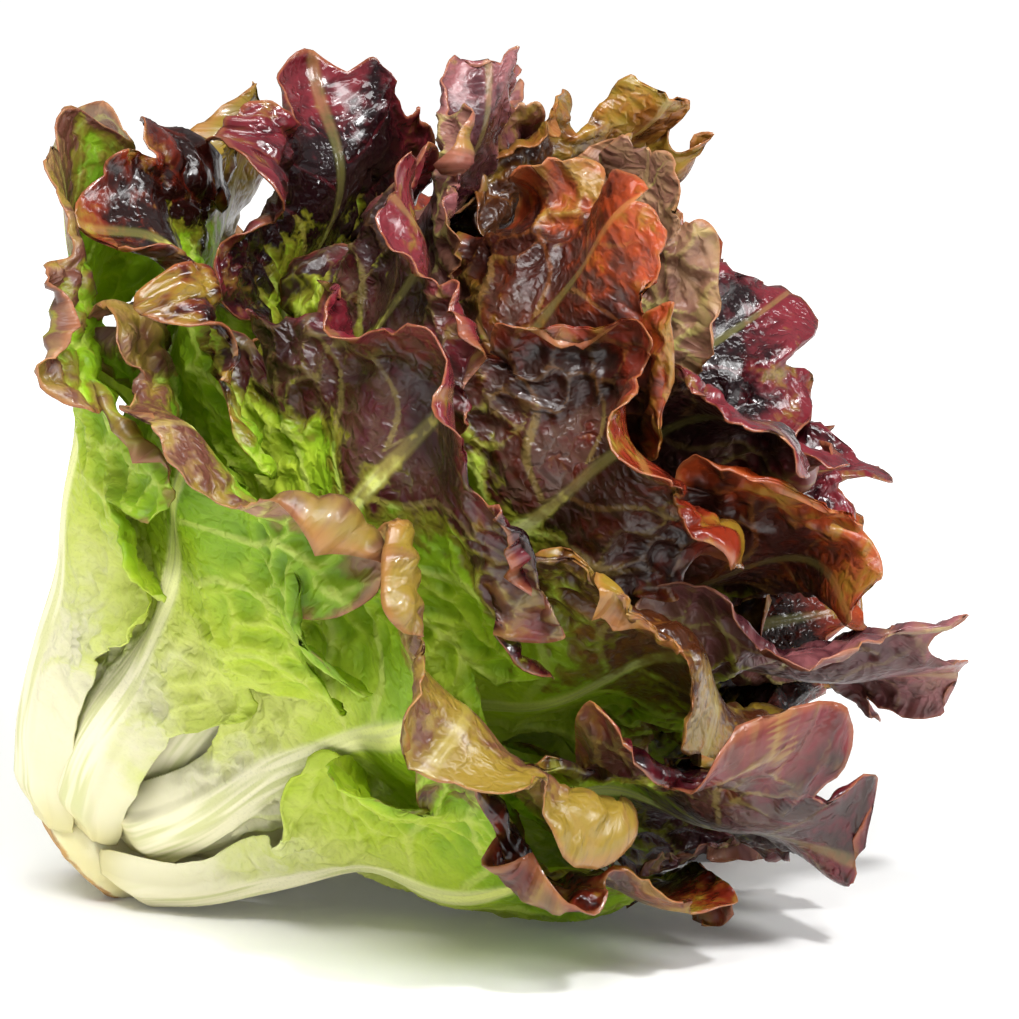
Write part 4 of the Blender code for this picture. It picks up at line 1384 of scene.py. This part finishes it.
class LettuceHead(bpy.types.PropertyGroup):
    """All settings of the head."""

    shape: PointerProperty(type=LeafShape)
    colours: PointerProperty(type=HeadColours)
    stage: PointerProperty(type=StageSettings)
    stem_turns: IntProperty(name="Stem turns", description="Sides of the stem", default=96, min=12)


class LETTUCE_OT_stage(bpy.types.Operator):
    """Set the pale surface, the soft light and the camera"""

    bl_idname = "lettuce.stage"
    bl_label = "Set the stage"
    bl_options = {"REGISTER", "UNDO"}

    def execute(self, context):
        scene = context.scene
        settings = scene.lettuce_head.stage
        bm = bmesh.new()
        bmesh.ops.create_grid(bm, x_segments=1, y_segments=1, size=FLOOR_HALF_SIZE)
        mesh = bpy.data.meshes.new("floor")
        bm.to_mesh(mesh)
        bm.free()
        mesh.materials.append(floor_finish(settings.floor))
        mesh.materials[0].cycles.emission_sampling = "NONE"
        floor = bpy.data.objects.new("floor", mesh)
        scene.collection.objects.link(floor)

        centre = Vector((BUTT_AT[0] + CENTRE_BEYOND_BUTT, BUTT_AT[1], CENTRE_HEIGHT))
        ahead = Vector((0, math.cos(settings.camera_rise), -math.sin(settings.camera_rise)))
        lens = bpy.data.cameras.new("camera")
        lens.sensor_width = SENSOR
        lens.lens = SENSOR * settings.camera_distance / (IMAGE_WIDTH * PIXEL)
        camera = bpy.data.objects.new("camera", lens)
        camera.location = centre - ahead * settings.camera_distance
        camera.rotation_euler = ahead.to_track_quat("-Z", "Y").to_euler()
        scene.collection.objects.link(camera)
        scene.camera = camera

        for name, (place, size) in LAMPS.items():
            area_light(name, place, size, getattr(settings, name))
        scene.world = studio_world(settings.world)
        scene.view_settings.view_transform = "Standard"
        scene.view_settings.look = "None"
        scene.cycles.adaptive_threshold = NOISE_THRESHOLD
        scene.cycles.max_bounces = BOUNCES
        scene.cycles.diffuse_bounces = DIFFUSE_BOUNCES
        return {"FINISHED"}


class LETTUCE_OT_stem(bpy.types.Operator):
    """Turn the butt and stem, with a browned cut and the scars of old leaves"""

    bl_idname = "lettuce.stem"
    bl_label = "Make the stem"
    bl_options = {"REGISTER", "UNDO"}

    def execute(self, context):
        head = context.scene.lettuce_head
        bm = bmesh.new()
        ring = [bm.verts.new((radius, 0, height)) for radius, height in stem_line()]
        edges = [bm.edges.new(pair) for pair in zip(ring, ring[1:])]
        bmesh.ops.spin(bm, geom=ring + edges, axis=(0, 0, 1), cent=(0, 0, 0), angle=2 * math.pi,
                       steps=head.stem_turns, use_merge=True)
        bmesh.ops.remove_doubles(bm, verts=bm.verts[:], dist=2 * AXIS_GAP)
        bmesh.ops.recalc_face_normals(bm, faces=bm.faces[:])
        shape_stem(bm)
        piece = finished(bm, "stem_fine", stem_finish(head.colours))
        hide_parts("stem")
        return {"FINISHED"}


class LETTUCE_OT_heart(bpy.types.Operator):
    """Grow the small leaves round the growing tip, as one piece"""

    bl_idname = "lettuce.heart"
    bl_label = "Grow the heart"
    bl_options = {"REGISTER", "UNDO"}

    def execute(self, context):
        head = context.scene.lettuce_head
        bm = bmesh.new()
        for number in reversed(range(HEART_COUNT)):
            upper, lower, flat, marks, across = fine_leaf(
                heart_plan(number), HEART_ROOMS[number], HEART_GRID, head.shape,
                HEART_NET_SEED + number, pressed=False)
            ripe = marks["along"] + HEART_LOPSIDED * across - HEART_RED_FROM
            marks["ripe"] = ripe / HEART_RIPENS_OVER
            map_place = (HEART_MAP[0] + HEART_MAP_STEP * number, HEART_MAP[1])
            blade_mesh(bm, upper, lower, flat, marks, map_place)
        bottom, top, height = HEART_CORE
        middle = Matrix.Translation((0, 0, HEART_AT + height / 2 + ROOT_GAP))
        bmesh.ops.create_cone(bm, cap_ends=True, segments=32, radius1=bottom, radius2=top,
                              depth=height, matrix=head_matrix() @ middle)
        piece = finished(bm, "heart_fine", leaf_finishes(head.colours)["rust"])
        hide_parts("heart")
        return {"FINISHED"}


class LETTUCE_OT_inner(bpy.types.Operator):
    """Grow the inner leaves"""

    bl_idname = "lettuce.inner_leaves"
    bl_label = "Grow the inner leaves"
    bl_options = {"REGISTER", "UNDO"}

    def execute(self, context):
        grow_leaves(range(OUTER_COUNT + MIDDLE_COUNT, LEAF_COUNT), context.scene.lettuce_head)
        return {"FINISHED"}


class LETTUCE_OT_middle(bpy.types.Operator):
    """Grow the middle leaves"""

    bl_idname = "lettuce.middle_leaves"
    bl_label = "Grow the middle leaves"
    bl_options = {"REGISTER", "UNDO"}

    def execute(self, context):
        grow_leaves(range(OUTER_COUNT, OUTER_COUNT + MIDDLE_COUNT), context.scene.lettuce_head)
        return {"FINISHED"}


class LETTUCE_OT_outer(bpy.types.Operator):
    """Grow the outer leaves"""

    bl_idname = "lettuce.outer_leaves"
    bl_label = "Grow the outer leaves"
    bl_options = {"REGISTER", "UNDO"}

    def execute(self, context):
        grow_leaves(range(OUTER_COUNT), context.scene.lettuce_head)
        return {"FINISHED"}


class LETTUCE_PT_head(bpy.types.Panel):
    """The head's settings and its makers"""

    bl_label = "Lettuce head"
    bl_idname = "LETTUCE_PT_head"
    bl_space_type = "VIEW_3D"
    bl_region_type = "UI"
    bl_category = "Lettuce"

    def draw(self, context):
        head = context.scene.lettuce_head
        for group in (head.shape, head.colours, head.stage):
            box = self.layout.box()
            for name in group.bl_rna.properties.keys():
                if name not in ("rna_type", "name"):
                    box.prop(group, name)
        self.layout.prop(head, "stem_turns")
        for operator in STEPS:
            self.layout.operator(operator.bl_idname)


GROUPS = (LeafShape, HeadColours, StageSettings, LettuceHead)
STEPS = (LETTUCE_OT_stage, LETTUCE_OT_stem, LETTUCE_OT_heart, LETTUCE_OT_inner, LETTUCE_OT_middle,
         LETTUCE_OT_outer)


def register():
    for kind in (*GROUPS, *STEPS, LETTUCE_PT_head):
        bpy.utils.register_class(kind)
    bpy.types.Scene.lettuce_head = PointerProperty(type=LettuceHead)


def unregister():
    del bpy.types.Scene.lettuce_head
    for kind in reversed((*GROUPS, *STEPS, LETTUCE_PT_head)):
        bpy.utils.unregister_class(kind)


def main():
    register()
    for operator in (bpy.ops.lettuce.stage, bpy.ops.lettuce.stem, bpy.ops.lettuce.heart,
                     bpy.ops.lettuce.inner_leaves, bpy.ops.lettuce.middle_leaves,
                     bpy.ops.lettuce.outer_leaves):
        if operator() != {"FINISHED"}:
            raise RuntimeError(f"{operator.idname()} did not finish")


if __name__ == "__main__":
    main()
